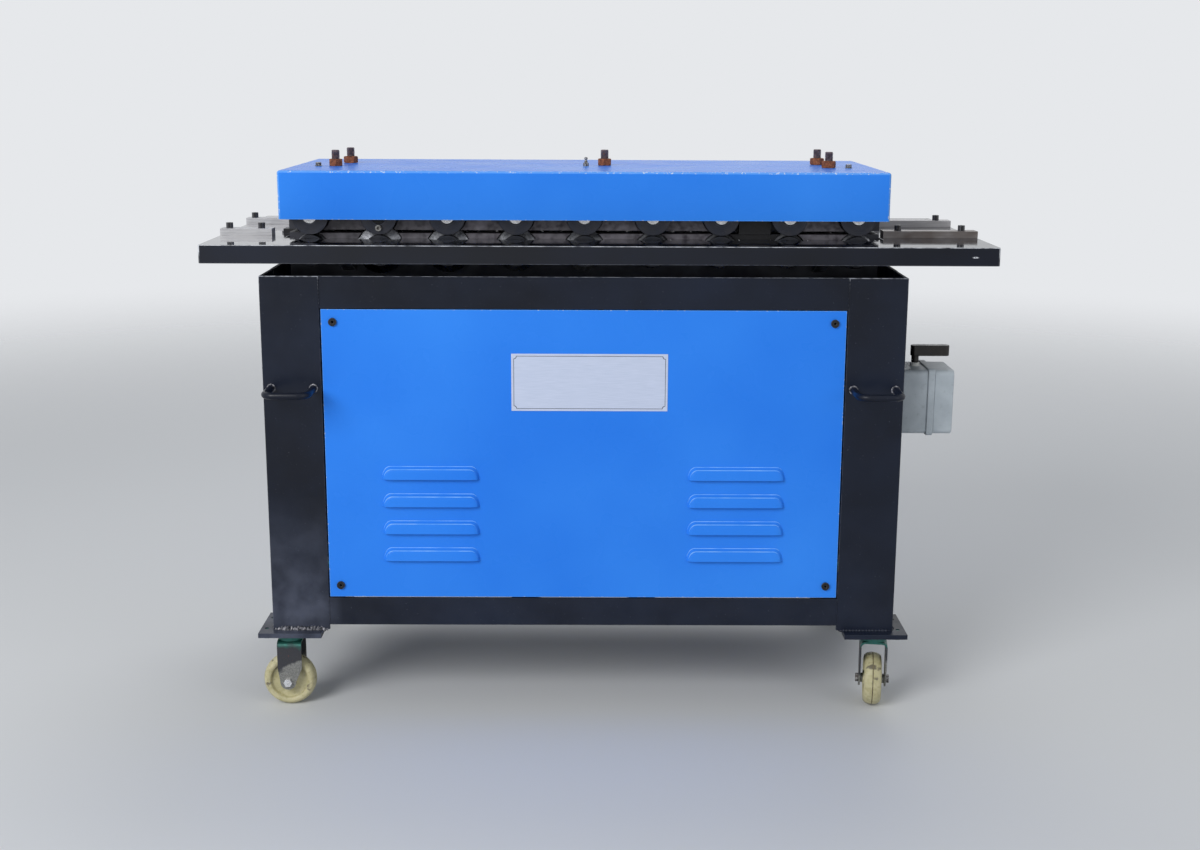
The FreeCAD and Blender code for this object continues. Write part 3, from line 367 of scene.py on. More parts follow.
def patches(tree, place, size, low=0.3, high=0.7, least=0.0, most=1.0, stretch=(1, 1, 1), detail=3.0):
    """Soft lumps of a size in millimetres: noise, spread out so that low and high in it become least and
    most."""
    where = add(tree, "Mapping", {"Vector": place, "Scale": stretch})
    wave = add(tree, "TexNoise", {"Vector": where, "Scale": 1000 / size, "Detail": detail})
    ends = {"Value": wave, "From Min": low, "From Max": high, "To Min": least, "To Max": most}
    return add(tree, "MapRange", ends)


def box_edges(tree, width):
    """A share that is 1 along the edges of a boxy piece and 0 on its faces. A rounded normal leans away
    from all three axes there, so the largest of |nx|, |ny| and |nz| falls below 1."""
    soft = add(tree, "Bevel", {"Radius": width}, samples=6)
    lean = add(tree, "VectorMath", {0: soft}, operation="ABSOLUTE")
    sides = add(tree, "SeparateXYZ", {0: lean}).node.outputs
    larger = add(tree, "Math", {0: sides[0], 1: sides[1]}, operation="MAXIMUM")
    largest = add(tree, "Math", {0: larger, 1: sides[2]}, operation="MAXIMUM")
    return add(tree, "MapRange", {"Value": largest, "From Min": 0.99, "From Max": 0.9})


def surface(tree, shader, base, coats, rough=None, relief=None, depth=0.0):
    """Puts a material's patterns on its shader. Coats of colour lie over the base one after another, each
    by its share from 0 to 1. rough is a pattern of roughness, and relief one of heights, as deep as
    depth."""
    for share, colour in coats:
        base = add(tree, "Mix", {0: share, 6: base, 7: colour}, 2, data_type="RGBA")
    tree.links.new(base, shader["Base Color"])
    if rough:
        tree.links.new(rough, shader["Roughness"])
    if relief:
        add(tree, "Bump", {"Height": relief, "Distance": depth}, to=shader["Normal"])


def frame_enamel(name, on_plates):
    """Brushed enamel on welded steel: blue-black and half gloss, with brush marks and a few pale specks of
    dust. It is paler low down, most towards the entry: a painted reflection of the floor. On plates it is
    rubbed off along the edges, most of all along the top."""
    made, tree, shader, place = new_material(name, {
        "Specular IOR Level": 0.2, "Coat Weight": 0.07, "Coat Roughness": 0.2})
    parts = add(tree, "SeparateXYZ", {0: place}).node.outputs
    # Paler low down and towards the entry, #4C5160: a painted reflection of the floor
    floor_reflection_low = add(tree, "MapRange", {"Value": parts[2], "From Min": 0.42, "From Max": 0.16})
    floor_reflection_to_left = {"Value": parts[0], "From Min": -0.48, "From Max": -0.52, "To Min": 0.1}
    uneven = patches(tree, place, 45, 0.35, 0.65, least=0.4)
    film = add(tree, "Math", {0: floor_reflection_low, 1: uneven}, operation="MULTIPLY")
    film = add(tree, "Math", {0: film, 1: add(tree, "MapRange", floor_reflection_to_left)}, operation="MULTIPLY")
    specks = patches(tree, place, 2.8, 0.7, 0.75, most=0.35, detail=4.0)
    coats = [(patches(tree, place, 170), "#151D2E"), (film, "#4C5160"), (specks, "#7E8390")]
    if on_plates:
        upwards = {"Value": parts[2], "From Min": 0.8, "From Max": 0.826, "To Min": 0.06}
        broken = patches(tree, place, 9, 0.4, 0.52, least=0.2, detail=5.0)
        rubbed = add(tree, "Math", {0: box_edges(tree, 1.4 * mm), 1: broken}, operation="MULTIPLY")
        rubbed = add(tree, "Math", {0: rubbed, 1: add(tree, "MapRange", upwards)}, operation="MULTIPLY")
        coats.append((rubbed, "#B2B6C0"))
    strokes = patches(tree, place, 5, 0.25, 0.75, stretch=(1, 1, 0.12))
    surface(tree, shader, "#0B101C", coats,
            patches(tree, place, 26, least=0.28, most=0.44), strokes, 0.04 * mm)
    return made


def table_enamel():
    """Poured gloss enamel on the table: near black and mirror-like, duller towards the exit end, hazed
    where sheets slide over it, and worn to bright metal along its edges and in one scratch on the
    front."""
    made, tree, shader, place = new_material("gloss_black_enamel", {
        "Specular IOR Level": 0.2, "Coat Roughness": 0.04, "Coat IOR": 1.4})
    parts = add(tree, "SeparateXYZ", {0: place}).node.outputs
    along = {"Value": parts[0], "From Min": -0.55, "From Max": 0.6, "To Min": 0.58, "To Max": 0.12}
    add(tree, "MapRange", along, to=shader["Coat Weight"])
    broken = patches(tree, place, 16, 0.3, 0.55, least=0.1, detail=6.0)
    top = add(tree, "MapRange", {"Value": parts[2], "From Min": 0.865, "From Max": 0.875, "To Min": 0.15})
    rubbed = add(tree, "Math", {0: box_edges(tree, 1.8 * mm), 1: broken}, operation="MULTIPLY")
    rubbed = add(tree, "Math", {0: rubbed, 1: top}, operation="MULTIPLY")
    scratch_place = (0.6665, -0.303, 0.8686)
    scratch_size = (160, 20, 600)
    shift = tuple(-place_on * scale for place_on, scale in zip(scratch_place, scratch_size))
    at_scratch = add(tree, "Mapping", {"Vector": place, "Location": shift, "Scale": scratch_size})
    reach = add(tree, "VectorMath", {0: at_scratch}, 1, operation="LENGTH")
    scratch = add(tree, "MapRange", {"Value": reach, "From Min": 1.1, "From Max": 0.5})
    torn = patches(tree, place, 3, 0.35, 0.55, detail=5.0)
    scratch = add(tree, "Math", {0: scratch, 1: torn}, operation="MULTIPLY")
    rubbed = add(tree, "Math", {0: rubbed, 1: scratch}, operation="MAXIMUM")
    haze = patches(tree, place, 70, 0.4, 0.75, 0.05, 0.2, stretch=(0.25, 1, 1))
    rough = add(tree, "Math", {0: rubbed, 1: 0.3, 2: haze}, operation="MULTIPLY_ADD")
    surface(tree, shader, "#070B16", [(patches(tree, place, 210, 0.35), "#0D1424"), (rubbed, "#D3D6DC")],
            rough, patches(tree, place, 12, 0.2, 0.8), 0.012 * mm)
    return made


def blue_enamel(name, box_edged):
    """Baked gloss enamel on sheet steel: even azure with a faint orange peel. On boxy pieces it is paler
    along the edges, a painted highlight, with a few chips."""
    made, tree, shader, place = new_material(name, {
        "Specular IOR Level": 0.09, "Coat Weight": 0.04, "Coat Roughness": 0.08})
    coats = [(patches(tree, place, 420), "#388CF5")]
    if box_edged:
        edges = box_edges(tree, 2.5 * mm)
        # Paler along the edges, #7DBBFF: a painted highlight where the edges catch the light
        thin = add(tree, "Math", {0: edges, 1: 0.55}, operation="MULTIPLY")
        spots = patches(tree, place, 4, 0.6, 0.64, detail=5.0)
        chips = add(tree, "Math", {0: edges, 1: spots}, operation="MULTIPLY")
        coats += [(thin, "#7DBBFF"), (chips, "#DCE6F2")]
    surface(tree, shader, "#297BE9", coats, patches(tree, place, 80, least=0.24, most=0.32),
            patches(tree, place, 2.5, 0.2, 0.8), 0.01 * mm)
    return made


def fold_highlight_enamel():
    """Pale azure for the strips along the folds of the louvres: a painted highlight where they catch the
    light, broken by patches of deeper azure."""
    made, tree, shader, place = new_material("thin_azure_enamel", {
        "Specular IOR Level": 0.3, "Roughness": 0.3})
    surface(tree, shader, "#8DC6FF", [(patches(tree, place, 30, 0.35, 0.65), "#5CA8FB")])
    return made


def ground_steel():
    """Surface-ground steel bars: bright, with fine lines along their length. The front bar at the exit
    end, where the oily seams come out, has gone brown."""
    made, tree, shader, place = new_material("ground_steel", {"Metallic": 0.6})
    lines = patches(tree, place, 0.9, stretch=(0.02, 1, 1))
    parts = add(tree, "SeparateXYZ", {0: place}).node.outputs
    exit_end = add(tree, "MapRange", {"Value": parts[0], "From Min": 0.2, "From Max": 0.5, "To Max": 0.95})
    in_front = {"Value": parts[1], "From Min": 0.05, "From Max": -0.05, "To Min": 0.35}
    marks = patches(tree, place, 34, 0.25, 0.62, least=0.6, stretch=(0.5, 1, 1), detail=5.0)
    stained = add(tree, "Math", {0: exit_end, 1: marks}, operation="MULTIPLY")
    stained = add(tree, "Math", {0: stained, 1: add(tree, "MapRange", in_front)}, operation="MULTIPLY")
    surface(tree, shader, "#A8A7A9", [(lines, "#C6C6C8"), (stained, "#5A514C")],
            patches(tree, place, 22, least=0.3, most=0.46), lines, 0.006 * mm)
    return made


def block_steel():
    """Milled guide blocks in thin oil: dull violet grey, mottled where mill scale stays between the
    cutter's upright marks, and darker towards the entry, a painted shadow of the cover."""
    made, tree, shader, place = new_material("milled_block_steel", {"Metallic": 0.35})
    mottle = patches(tree, place, 11, 0.44, detail=6.0)
    rubbed = patches(tree, place, 26, 0.5, most=0.7)
    along = add(tree, "SeparateXYZ", {0: place}).node.outputs[0]
    # Darker towards the entry, #2B2B2F: a painted shadow of the cover
    oily = add(tree, "MapRange", {"Value": along, "From Min": -0.25, "From Max": -0.5, "To Max": 0.6})
    cuts = patches(tree, place, 1.4, 0.2, 0.8, stretch=(1, 1, 0.15))
    surface(tree, shader, "#67646A", [(mottle, "#353138"), (rubbed, "#85818A"), (oily, "#2B2B2F")],
            patches(tree, place, 7, least=0.3, most=0.55), cuts, 0.03 * mm)
    return made


def plate_steel():
    """Milled and oiled steel plate: dull dark grey with feed marks a few millimetres apart."""
    made, tree, shader, place = new_material("oiled_plate_steel", {"Metallic": 0.8})
    cuts = patches(tree, place, 3, 0.2, 0.8, stretch=(1, 1, 0.1))
    surface(tree, shader, "#2C2D33", [(patches(tree, place, 70), "#46474D")],
            patches(tree, place, 18, least=0.35, most=0.6), cuts, 0.03 * mm)
    return made


def roll_steel(name, axis_height, dark, light):
    """Hardened steel turned on a lathe: dark slate with fine rings about its shaft and patches of oil.
    The rings follow the distance from the nearest shaft, sqrt(dx dx + dz dz), and the place along it."""
    made, tree, shader, place = new_material(name, {"Metallic": 0.85})
    parts = add(tree, "SeparateXYZ", {0: place}).node.outputs
    half = station_pitch / 2
    shifted = add(tree, "Math", {0: parts[0], 1: first_station}, operation="SUBTRACT")
    across = add(tree, "Math", {0: shifted, 1: half, 2: -half}, operation="WRAP")
    up = add(tree, "Math", {0: parts[2], 1: axis_height}, operation="SUBTRACT")
    reach = add(tree, "VectorMath", {0: add(tree, "CombineXYZ", {0: across, 2: up})}, 1, operation="LENGTH")
    rings = patches(tree, add(tree, "CombineXYZ", {0: reach, 1: parts[1]}), 0.8)
    surface(tree, shader, dark, [(rings, light), (patches(tree, place, 16, 0.35, most=0.25), "#4A4643")],
            patches(tree, place, 12, least=0.24, most=0.42), rings, 0.02 * mm)
    return made


def bright_steel():
    """The bright turned discs on the roll shafts' ends, and the bolt of the front left caster: pale steel
    with a soft shine, a little scuffed."""
    made, tree, shader, place = new_material("bright_turned_steel", {"Metallic": 0.7})
    surface(tree, shader, "#C4C5C8", [(patches(tree, place, 3), "#F0F0F1")],
            patches(tree, place, 6, least=0.2, most=0.4))
    return made


def bevel_steel():
    """The turned bevels of the lower rolls: bare steel, with paler marks where the sheet polished it that
    also stand as painted glints, dark between them, and painted black below the table as shade."""
    made, tree, shader, place = new_material("polished_bevel_steel", {"Metallic": 0.5})
    height = add(tree, "SeparateXYZ", {0: place}).node.outputs[2]
    # Black below the table, #0D0E13: painted shade where the table hides the bevels
    oily = add(tree, "MapRange", {"Value": height, "From Min": 0.872, "From Max": 0.858})
    # Paler marks, #A3A5AA: polish from the sheet, and painted glints
    glint_streaks = patches(tree, place, 11, stretch=(1, 0.3, 1))
    surface(tree, shader, "#5E6066", [(glint_streaks, "#A3A5AA"), (oily, "#0D0E13")],
            patches(tree, place, 6, least=0.18, most=0.4))
    return made


def gear_steel():
    """Cut gears, sprockets and chain in oil: mid grey, glossy in patches."""
    made, tree, shader, place = new_material("oiled_gear_steel", {"Metallic": 0.9, "Coat Weight": 0.2})
    cuts = patches(tree, place, 1, 0.2, 0.8, stretch=(1, 0.1, 1))
    surface(tree, shader, "#5D5E62", [(patches(tree, place, 9), "#8D8E90")],
            patches(tree, place, 14, least=0.25, most=0.5), cuts, 0.02 * mm)
    return made


def black_oxide():
    """Black-oxide alloy steel, on the socket screws and the stop and entry blocks, and on one end disc as
    painted shade: soft black with a grey sheen and rubbed edges."""
    made, tree, shader, place = new_material("black_oxide_steel", {"Metallic": 0.35})
    worn = add(tree, "Math", {0: box_edges(tree, 1.2 * mm), 1: 0.35}, operation="MULTIPLY")
    surface(tree, shader, "#0B0B0D", [(patches(tree, place, 4), "#1A1A1E"), (worn, "#77777C")],
            patches(tree, place, 5, least=0.35, most=0.5))
    return made


def rusty_steel():
    """Bare steel nuts left to rust: orange brown over dark scale, dry and pitted."""
    made, tree, shader, place = new_material("rusty_nut_steel", {
        "Metallic": 0.1, "Specular IOR Level": 0.3})
    scale = patches(tree, place, 5, detail=6.0)
    bloom = patches(tree, place, 2, 0.52, 0.75)
    pits = patches(tree, place, 1.2, 0.2, 0.8, detail=5.0)
    surface(tree, shader, "#5A3222", [(scale, "#96583A"), (bloom, "#B9794E")],
            patches(tree, place, 3, least=0.6, most=0.9), pits, 0.15 * mm)
    return made


def stud_steel():
    """Rolled thread gone brown and grey-purple, with rust in its roots."""
    made, tree, shader, place = new_material("browned_stud_steel", {"Metallic": 0.4})
    tone = patches(tree, place, 6, 0.35, 0.68, detail=5.0)
    bloom = patches(tree, place, 3, 0.55, 0.75)
    pits = patches(tree, place, 1.2, 0.2, 0.8)
    surface(tree, shader, "#443C42", [(tone, "#776A6F"), (bloom, "#7A4A30")],
            patches(tree, place, 3, least=0.4, most=0.7), pits, 0.06 * mm)
    return made


def zinc_plate(name, middle):
    """Zinc-plated pressed steel: speckled grey with white bloom on the cheeks, and darker above a border
    that climbs away from the entry end, a painted shadow on the upper cheeks. It is sea green where the film is
    thick, at the crown and over it. The middle is the x of the casters, from which the border climbs."""
    made, tree, shader, place = new_material(name, {"Metallic": 0.5})
    bloom = patches(tree, place, 2.4, 0.34, detail=5.0)
    parts = add(tree, "SeparateXYZ", {0: place}).node.outputs
    waves = patches(tree, place, 24, least=-6 * mm, most=6 * mm)
    level = add(tree, "Math", {0: parts[2], 1: waves}, operation="ADD")
    slope = 0.6
    climb = add(tree, "Math", {0: parts[0], 1: -slope, 2: slope * middle}, operation="MULTIPLY_ADD")
    leaning = add(tree, "Math", {0: level, 1: climb}, operation="ADD")
    # Darker above the climbing border, #35363C: a painted shadow on the upper cheeks
    above = add(tree, "MapRange", {"Value": leaning, "From Min": 0.079, "From Max": 0.084, "To Max": 0.93})
    film = add(tree, "MapRange", {"Value": level, "From Min": 0.119, "From Max": 0.127, "To Max": 0.8})
    specks = patches(tree, place, 2.2, 0.64, detail=4.0)
    rust_spots = patches(tree, place, 3.1, 0.7, 0.74)
    coats = [(bloom, "#989893"), (above, "#35363C"), (film, "#2B7468"), (specks, "#3F4240"),
             (rust_spots, "#8A4A3C")]
    surface(tree, shader, "#6C6C6A", coats,
            patches(tree, place, 8, least=0.32, most=0.55), bloom, 0.03 * mm)
    return made


def screw_zinc():
    """Small zinc-plated screws on the cover, the roll and three of the casters: pale grey, dulled brown
    by oil and dust."""
    made, tree, shader, place = new_material("dull_screw_zinc", {"Metallic": 0.5})
    surface(tree, shader, "#9A9A98", [(patches(tree, place, 4, 0.36, 0.6, detail=5.0), "#423D3B")],
            patches(tree, place, 3, least=0.3, most=0.55))
    return made


def cream_nylon():
    """Cast nylon wheels: cream with a waxy depth, browned in patches and scuffed dark in others."""
    made, tree, shader, place = new_material("cream_cast_nylon", {
        "Subsurface Weight": 0.12, "Subsurface Radius": (0.004, 0.003, 0.0015), "Subsurface Scale": 1.0})
    dirt = patches(tree, place, 7, 0.48, 0.78, most=0.7, detail=6.0)
    scuffs = patches(tree, place, 19, 0.61, 0.68, most=0.85, detail=5.0)
    casting = patches(tree, place, 3, 0.2, 0.8, detail=5.0)
    coats = [(patches(tree, place, 22), "#C6BF9B"), (dirt, "#8D8657"), (scuffs, "#5A5348")]
    surface(tree, shader, "#B2AB82", coats,
            patches(tree, place, 9, least=0.38, most=0.6), casting, 0.08 * mm)
    return made


def packed_grime():
    """Floor grime packed into the parting line of a wheel's tread: brown, dry and broken."""
    made, tree, shader, place = new_material("packed_floor_grime", {"Roughness": 0.85})
    surface(tree, shader, "#4A3F33", [(patches(tree, place, 9, 0.35, 0.65, detail=5.0), "#857B5C")])
    return made


def switch_plastic():
    """Moulded phenolic housing: cool light grey, satin, with a little grime in its texture."""
    made, tree, shader, place = new_material("grey_moulded_plastic", {"IOR": 1.5})
    soiling = patches(tree, place, 9, 0.6, 0.85, most=0.4)
    surface(tree, shader, "#A2ABB2", [(patches(tree, place, 30), "#B3BCC2"), (soiling, "#5F676D")],
            patches(tree, place, 6, least=0.34, most=0.46), patches(tree, place, 0.9, 0.2, 0.8), 0.02 * mm)
    return made


def pale_plastic():
    """The switch's white bush: nylon gone slightly yellow."""
    made, tree, shader, place = new_material("white_bush_plastic", {"IOR": 1.5, "Roughness": 0.4})
    surface(tree, shader, "#D8D9D4", [(patches(tree, place, 8), "#EDEDE8")])
    return made


def lever_plastic():
    """Black moulded handle: a warm black, shiny where it is held."""
    made, tree, shader, place = new_material("black_moulded_plastic", {
        "IOR": 1.5, "Specular IOR Level": 0.4})
    surface(tree, shader, "#110F0D", [(patches(tree, place, 14), "#1F1A17")],
            patches(tree, place, 12, least=0.2, most=0.4), patches(tree, place, 1.2, 0.2, 0.8), 0.02 * mm)
    return made


def motor_enamel():
    """Grey enamel over the sand texture of the gear motor's castings."""
    made, tree, shader, place = new_material("grey_casting_enamel", {"Coat Weight": 0.2})
    sand = patches(tree, place, 3, 0.2, 0.8, detail=5.0)
    surface(tree, shader, "#5A6670", [(patches(tree, place, 50), "#6D7A85")],
            patches(tree, place, 10, least=0.4, most=0.6), sand, 0.15 * mm)
    return made


def label_aluminium():
    """A bare anodised aluminium plate: pale, satin, with lines along its length."""
    made, tree, shader, place = new_material("satin_anodised_aluminium", {"Metallic": 0.2})
    surface(tree, shader, "#BEC9E0", [(patches(tree, place, 0.8, stretch=(0.03, 1, 1)), "#CBD4EA")],
            patches(tree, place, 40, least=0.34, most=0.44))
    return made


def label_ink():
    """The plate's dark printed border line, a little uneven."""
    made, tree, shader, place = new_material("dark_border_ink", {"Roughness": 0.5})
    surface(tree, shader, "#3C4250", [(patches(tree, place, 12), "#4E5566")])
    return made


def weld_metal():
    """Weld beads under thin paint: slate like the frame, with bare grey and white spots on their
    ripples."""
    made, tree, shader, place = new_material("weld_bead_steel", {"Metallic": 0.3})
    scale = patches(tree, place, 8, 0.4, 0.66, detail=5.0)
    bare = patches(tree, place, 6, 0.47, 0.6, detail=5.0)
    surface(tree, shader, "#25272F", [(scale, "#66676D"), (bare, "#A5A4AA")],
            patches(tree, place, 4, least=0.35, most=0.6), patches(tree, place, 2, 0.2, 0.8), 0.1 * mm)
    return made


slate = frame_enamel("brushed_slate_enamel", True)
slate_bar = frame_enamel("brushed_slate_enamel_on_bar", False)
gloss_black = table_enamel()
azure = blue_enamel("baked_azure_enamel", True)
azure_pressed = blue_enamel("baked_azure_enamel_on_louvres", False)
azure_fold_highlight = fold_highlight_enamel()
ground = ground_steel()
block_grey = block_steel()
plate_grey = plate_steel()
lower_steel = roll_steel("lower_roll_steel", lower_axis, "#22242A", "#3A3D45")
upper_steel = roll_steel("upper_roll_steel", upper_axis, "#26282F", "#3E414B")
bright = bright_steel()
bevel_bare = bevel_steel()
gear_grey = gear_steel()
oxide = black_oxide()
rust = rusty_steel()
stud_brown = stud_steel()
zinc_left = zinc_plate("green_zinc_plate_at_the_entry", left_casters)
zinc_right = zinc_plate("green_zinc_plate_at_the_exit", right_casters)
zinc_screw = screw_zinc()
nylon = cream_nylon()
grime = packed_grime()
switch_grey = switch_plastic()
bush_white = pale_plastic()
lever_black = lever_plastic()
motor_grey = motor_enamel()
aluminium = label_aluminium()
ink = label_ink()
weld = weld_metal()


def cabinet():
    """Posts, rails, side sheets, the tubes inside, foot plates, and the table on top. Each has its edges
    rounded by a width in millimetres, in a number of steps."""
    for node_name, material, edge, segments in (
            ("corner_posts", slate, 1.6, 3), ("frame_rails", slate, 0.8, 2),
            ("side_sheets", slate, 0.5, 2), ("cross_members", slate, 1.0, 2),
            ("foot_plates", slate, 1.2, 3), ("table_top", gloss_black, 1.2, 3)):
        dressed(node_name, material, edge * mm, segments)


def weld_bead(start, end, size, seed):
    """A bead along a line, s being the way along it. The section's radius swells by a share of sin(2 pi s
    / ripple), wanders with sin(2 pi s / wander), and tapers to 0.35 of its size at both ends."""
    ripple = 6.2 * mm
    wander = 23 * mm
    start = np.array(start, float)
    end = np.array(end, float)
    length = np.linalg.norm(end - start)
    s = np.linspace(0, length, max(int(length / (0.8 * mm)), 8))
    swell = 0.27 * np.sin(2 * math.pi * s / ripple + seed) + 0.12 * np.sin(2 * math.pi * s / wander + seed)
    taper = np.clip(np.minimum(s, length - s) / (2 * size), 0.35, 1.0)
    path = start + (end - start) * (s / length)[:, None]
    return swept_shape(path, size * (1 + swell) * taper, sides=10)


def weld_beads():
    """Beads where the posts stand on their foot plates, coarse and bare at the entry end, fine and
    painted at the exit end, and painted ones up the joints of the front and rear rails."""
    foot_inset = 4 * mm
    rail_inset = 2 * mm
    bare = []
    painted = []
    seed = 0.0
    for low, high in solids("corner_posts"):
        at_entry = low[0] < head_centre
        face = low[1] if low[1] < 0 else high[1]
        side = low[0] if at_entry else high[0]
        foot = low[2]
        beads, size = (bare, 6.0 * mm) if at_entry else (painted, 3.6 * mm)
        seed += 1.3
        beads.append(weld_bead((low[0] + foot_inset, face, foot), (high[0] - foot_inset, face, foot),
                               size, seed))
        beads.append(weld_bead((side, low[1] + foot_inset, foot), (side, high[1] - foot_inset, foot),
                               4.0 * mm, seed + 0.5))
    for low, high in solids("frame_rails"):
        if high[0] - low[0] > 500 * mm:
            face = low[1] if low[1] < 0 else high[1]
            for x in (low[0], high[0]):
                seed += 0.9
                painted.append(weld_bead((x, face, low[2] + rail_inset), (x, face, high[2] - rail_inset),
                                         1.1 * mm, seed))
    new_piece("weld_beads", joined(bare), weld, "corner_posts", sharp=60)
    new_piece("painted_weld_beads", joined(painted), slate_bar, "frame_rails", sharp=60)


def holed_sheet(x_lines, z_lines, holes, front, back):
    """A flat sheet as a grid of cells on two planes, with the cells inside a hole left out and walls
    round each."""
    x_lines = np.unique(np.round(x_lines, 6))
    z_lines = np.unique(np.round(z_lines, 6))
    x_middle = (x_lines[:-1] + x_lines[1:]) / 2
    z_middle = (z_lines[:-1] + z_lines[1:]) / 2
    kept = np.ones((len(z_middle), len(x_middle)), bool)
    for x0, x1, z0, z1 in holes:
        inside = (z_middle[:, None] > z0) & (z_middle[:, None] < z1) & (x_middle > x0) & (x_middle < x1)
        kept &= ~inside
    flat_x, flat_z = np.meshgrid(x_lines, z_lines)
    planes = [np.stack([flat_x, np.full_like(flat_x, y), flat_z], axis=-1).reshape(-1, 3)
              for y in (front, back)]
    count = len(x_lines) * len(z_lines)
    cells = quads(np.arange(count).reshape(len(z_lines), len(x_lines)))
    faces = list(cells[kept]) + [cell[::-1] + count for cell in cells[kept]]
    padded = np.pad(kept, 1)
    for down, right, first, second in ((-1, 0, 0, 1), (1, 0, 2, 3), (0, 1, 1, 2), (0, -1, 3, 0)):
        neighbour = padded[1 + down:1 + down + kept.shape[0], 1 + right:1 + right + kept.shape[1]]
        for cell in cells[kept & ~neighbour]:
            a, b = cell[first], cell[second]
            faces.append(np.array([b, a, a + count, b + count]))
    return np.concatenate(planes), faces


def louvre_ring(centre, top, face, ring):
    """One ring of a pressed hood, from the lip's left end over the top to its right end. A ring of share
    r is a D lying on its back: its half length is L / 2 - narrowing (1 - r) and its top H r above the
    lip, with quarter ellipses for corners. It stands off the sheet by depth * g(r), where g falls slowly
    from 1 to 0.62 at the fold, at r = 0.78, and fast from there to 0 at the sheet."""
    narrowing = 16 * mm
    corner = 15 * mm
    reach = louvre_length / 2 - narrowing * (1 - ring)
    angle = np.linspace(0, math.pi / 2, 11)
    side_x = reach - corner + corner * np.cos(angle)
    side_z = louvre_height * ring * np.sin(angle)
    flat_x = np.linspace(-(reach - corner), reach - corner, 13)[1:-1]
    flat_z = np.full(len(flat_x), louvre_height * ring)
    x = centre + np.concatenate([-side_x, flat_x, side_x[::-1]])
    z = top - louvre_height + np.concatenate([side_z, flat_z, side_z[::-1]])
    off = np.interp(ring, [0, 0.4, 0.7, 0.78, 0.86, 0.95, 1], [1, 0.9, 0.74, 0.62, 0.38, 0.1, 0])
    return np.stack([x, np.full(len(x), face - louvre_depth * off), z], axis=-1)


def louvre_shape(centre, top, face):
    """A pressed hood of nested rings, with a second surface a wall's thickness inside it. Its two end
    columns lie between the two, which closes it along the lip."""
    rings = [0, 0.15, 0.3, 0.45, 0.58, 0.68, 0.74, 0.78, 0.82, 0.86, 0.9, 0.95, 0.98, 1]
    outer = np.array([louvre_ring(centre, top, face, ring) for ring in rings])
    inner = outer.copy()
    inner[..., 1] = np.minimum(outer[..., 1] + louvre_wall, face + 0.5 * mm)
    between = (outer + inner) / 2
    sheets = [np.concatenate([between[:, :1], sheet, between[:, -1:]], axis=1) for sheet in (outer, inner)]
    return grid_shape(np.concatenate([sheets[0][::-1], sheets[1]], axis=0), wrap_rows=True)


def louvre_fold_highlights(centre, top, face):
    """Pale strips along the two folds of a hood, a painted highlight: where it leaves the sheet and where
    its back turns. Each fades in over five points and out over five."""
    folds = []
    for ring, radius in ((0.98, 0.7 * mm), (0.78, 0.8 * mm)):
        path = louvre_ring(centre, top, face, ring)[2:-6]
        last = len(path) - 1
        share = np.interp(np.arange(len(path)), [0, 4, last - 4, last], [0.3, 1, 1, 0.2])
        folds.append(swept_shape(path, radius * share, sides=8))
    return joined(folds)


def panel(node_name, side):
    """A panel: a flat sheet with slots, and a hood over each slot. side is -1 in front and +1 behind."""
    slot_reach = louvre_length / 2 - 11 * mm
    slot_below_top = 8 * mm
    low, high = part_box(node_name)
    back = high[1] if side < 0 else low[1]
    face = back + side * panel_sheet
    holes = []
    hoods = []
    folds = []
    for hand in (-1, 1):
        middle = head_centre + hand * louvre_offset
        for row in range(louvre_rows):
            top = louvre_top - louvre_pitch * row
            holes.append((middle - slot_reach, middle + slot_reach,
                          top - louvre_height, top - slot_below_top))
            hoods.append(louvre_shape(middle, top, -abs(face)))
            folds.append(louvre_fold_highlights(middle, top, -abs(face)))
    x_lines = [low[0], high[0]] + [x for hole in holes for x in hole[:2]]
    z_lines = [low[2], high[2]] + [z for hole in holes for z in hole[2:]]
    sheet = holed_sheet(x_lines, z_lines, holes, face, back)
    new_piece(node_name + "_sheet", sheet, azure, node_name, edge=0.6 * mm, stands_for=True)
    hood_points, hood_faces = joined(hoods)
    fold_points, fold_faces = joined(folds)
    turned = (1, -side, 1)
    new_piece(node_name + "_louvres", (hood_points * turned, hood_faces), azure_pressed, node_name,
              sharp=40, stands_for=True)
    # Pale strips along the folds of the louvres: a painted highlight
    new_piece(node_name + "_louvre_folds", (fold_points * turned, fold_faces), azure_fold_highlight, node_name,
              sharp=60)


def handles():
    """Round bar bent twice, welded to the posts with a bead round each end. The bead's radius swells nine
    times in its turn."""
    bend = 19 * mm
    bead = 1.9 * mm
    bars = []
    collars = []
    angle = np.linspace(0, 2 * math.pi, 40)
    for low, high in solids("handles"):
        radius = (high[2] - low[2]) / 2
        level = (high[2] + low[2]) / 2
        post, out = (high[1], low[1] + radius) if low[1] < 0 else (low[1], high[1] - radius)
        left = low[0] + radius
        right = high[0] - radius
        corners = [(left, post, level), (left, out, level), (right, out, level), (right, post, level)]
        bars.append(swept_shape(rounded_path(corners, bend), radius, sides=28))
        for x in (left, right):
            ring = [x + radius * np.cos(angle), post + 0 * angle, level + radius * np.sin(angle)]
            swell = bead * (1 + 0.15 * np.sin(9 * angle))
            collars.append(swept_shape(np.stack(ring, axis=-1), swell, sides=10))
    new_piece("carrying_handles", joined(bars), slate_bar, "handles", sharp=60, stands_for=True)
    new_piece("handle_welds", joined(collars), weld, "handles", sharp=60)


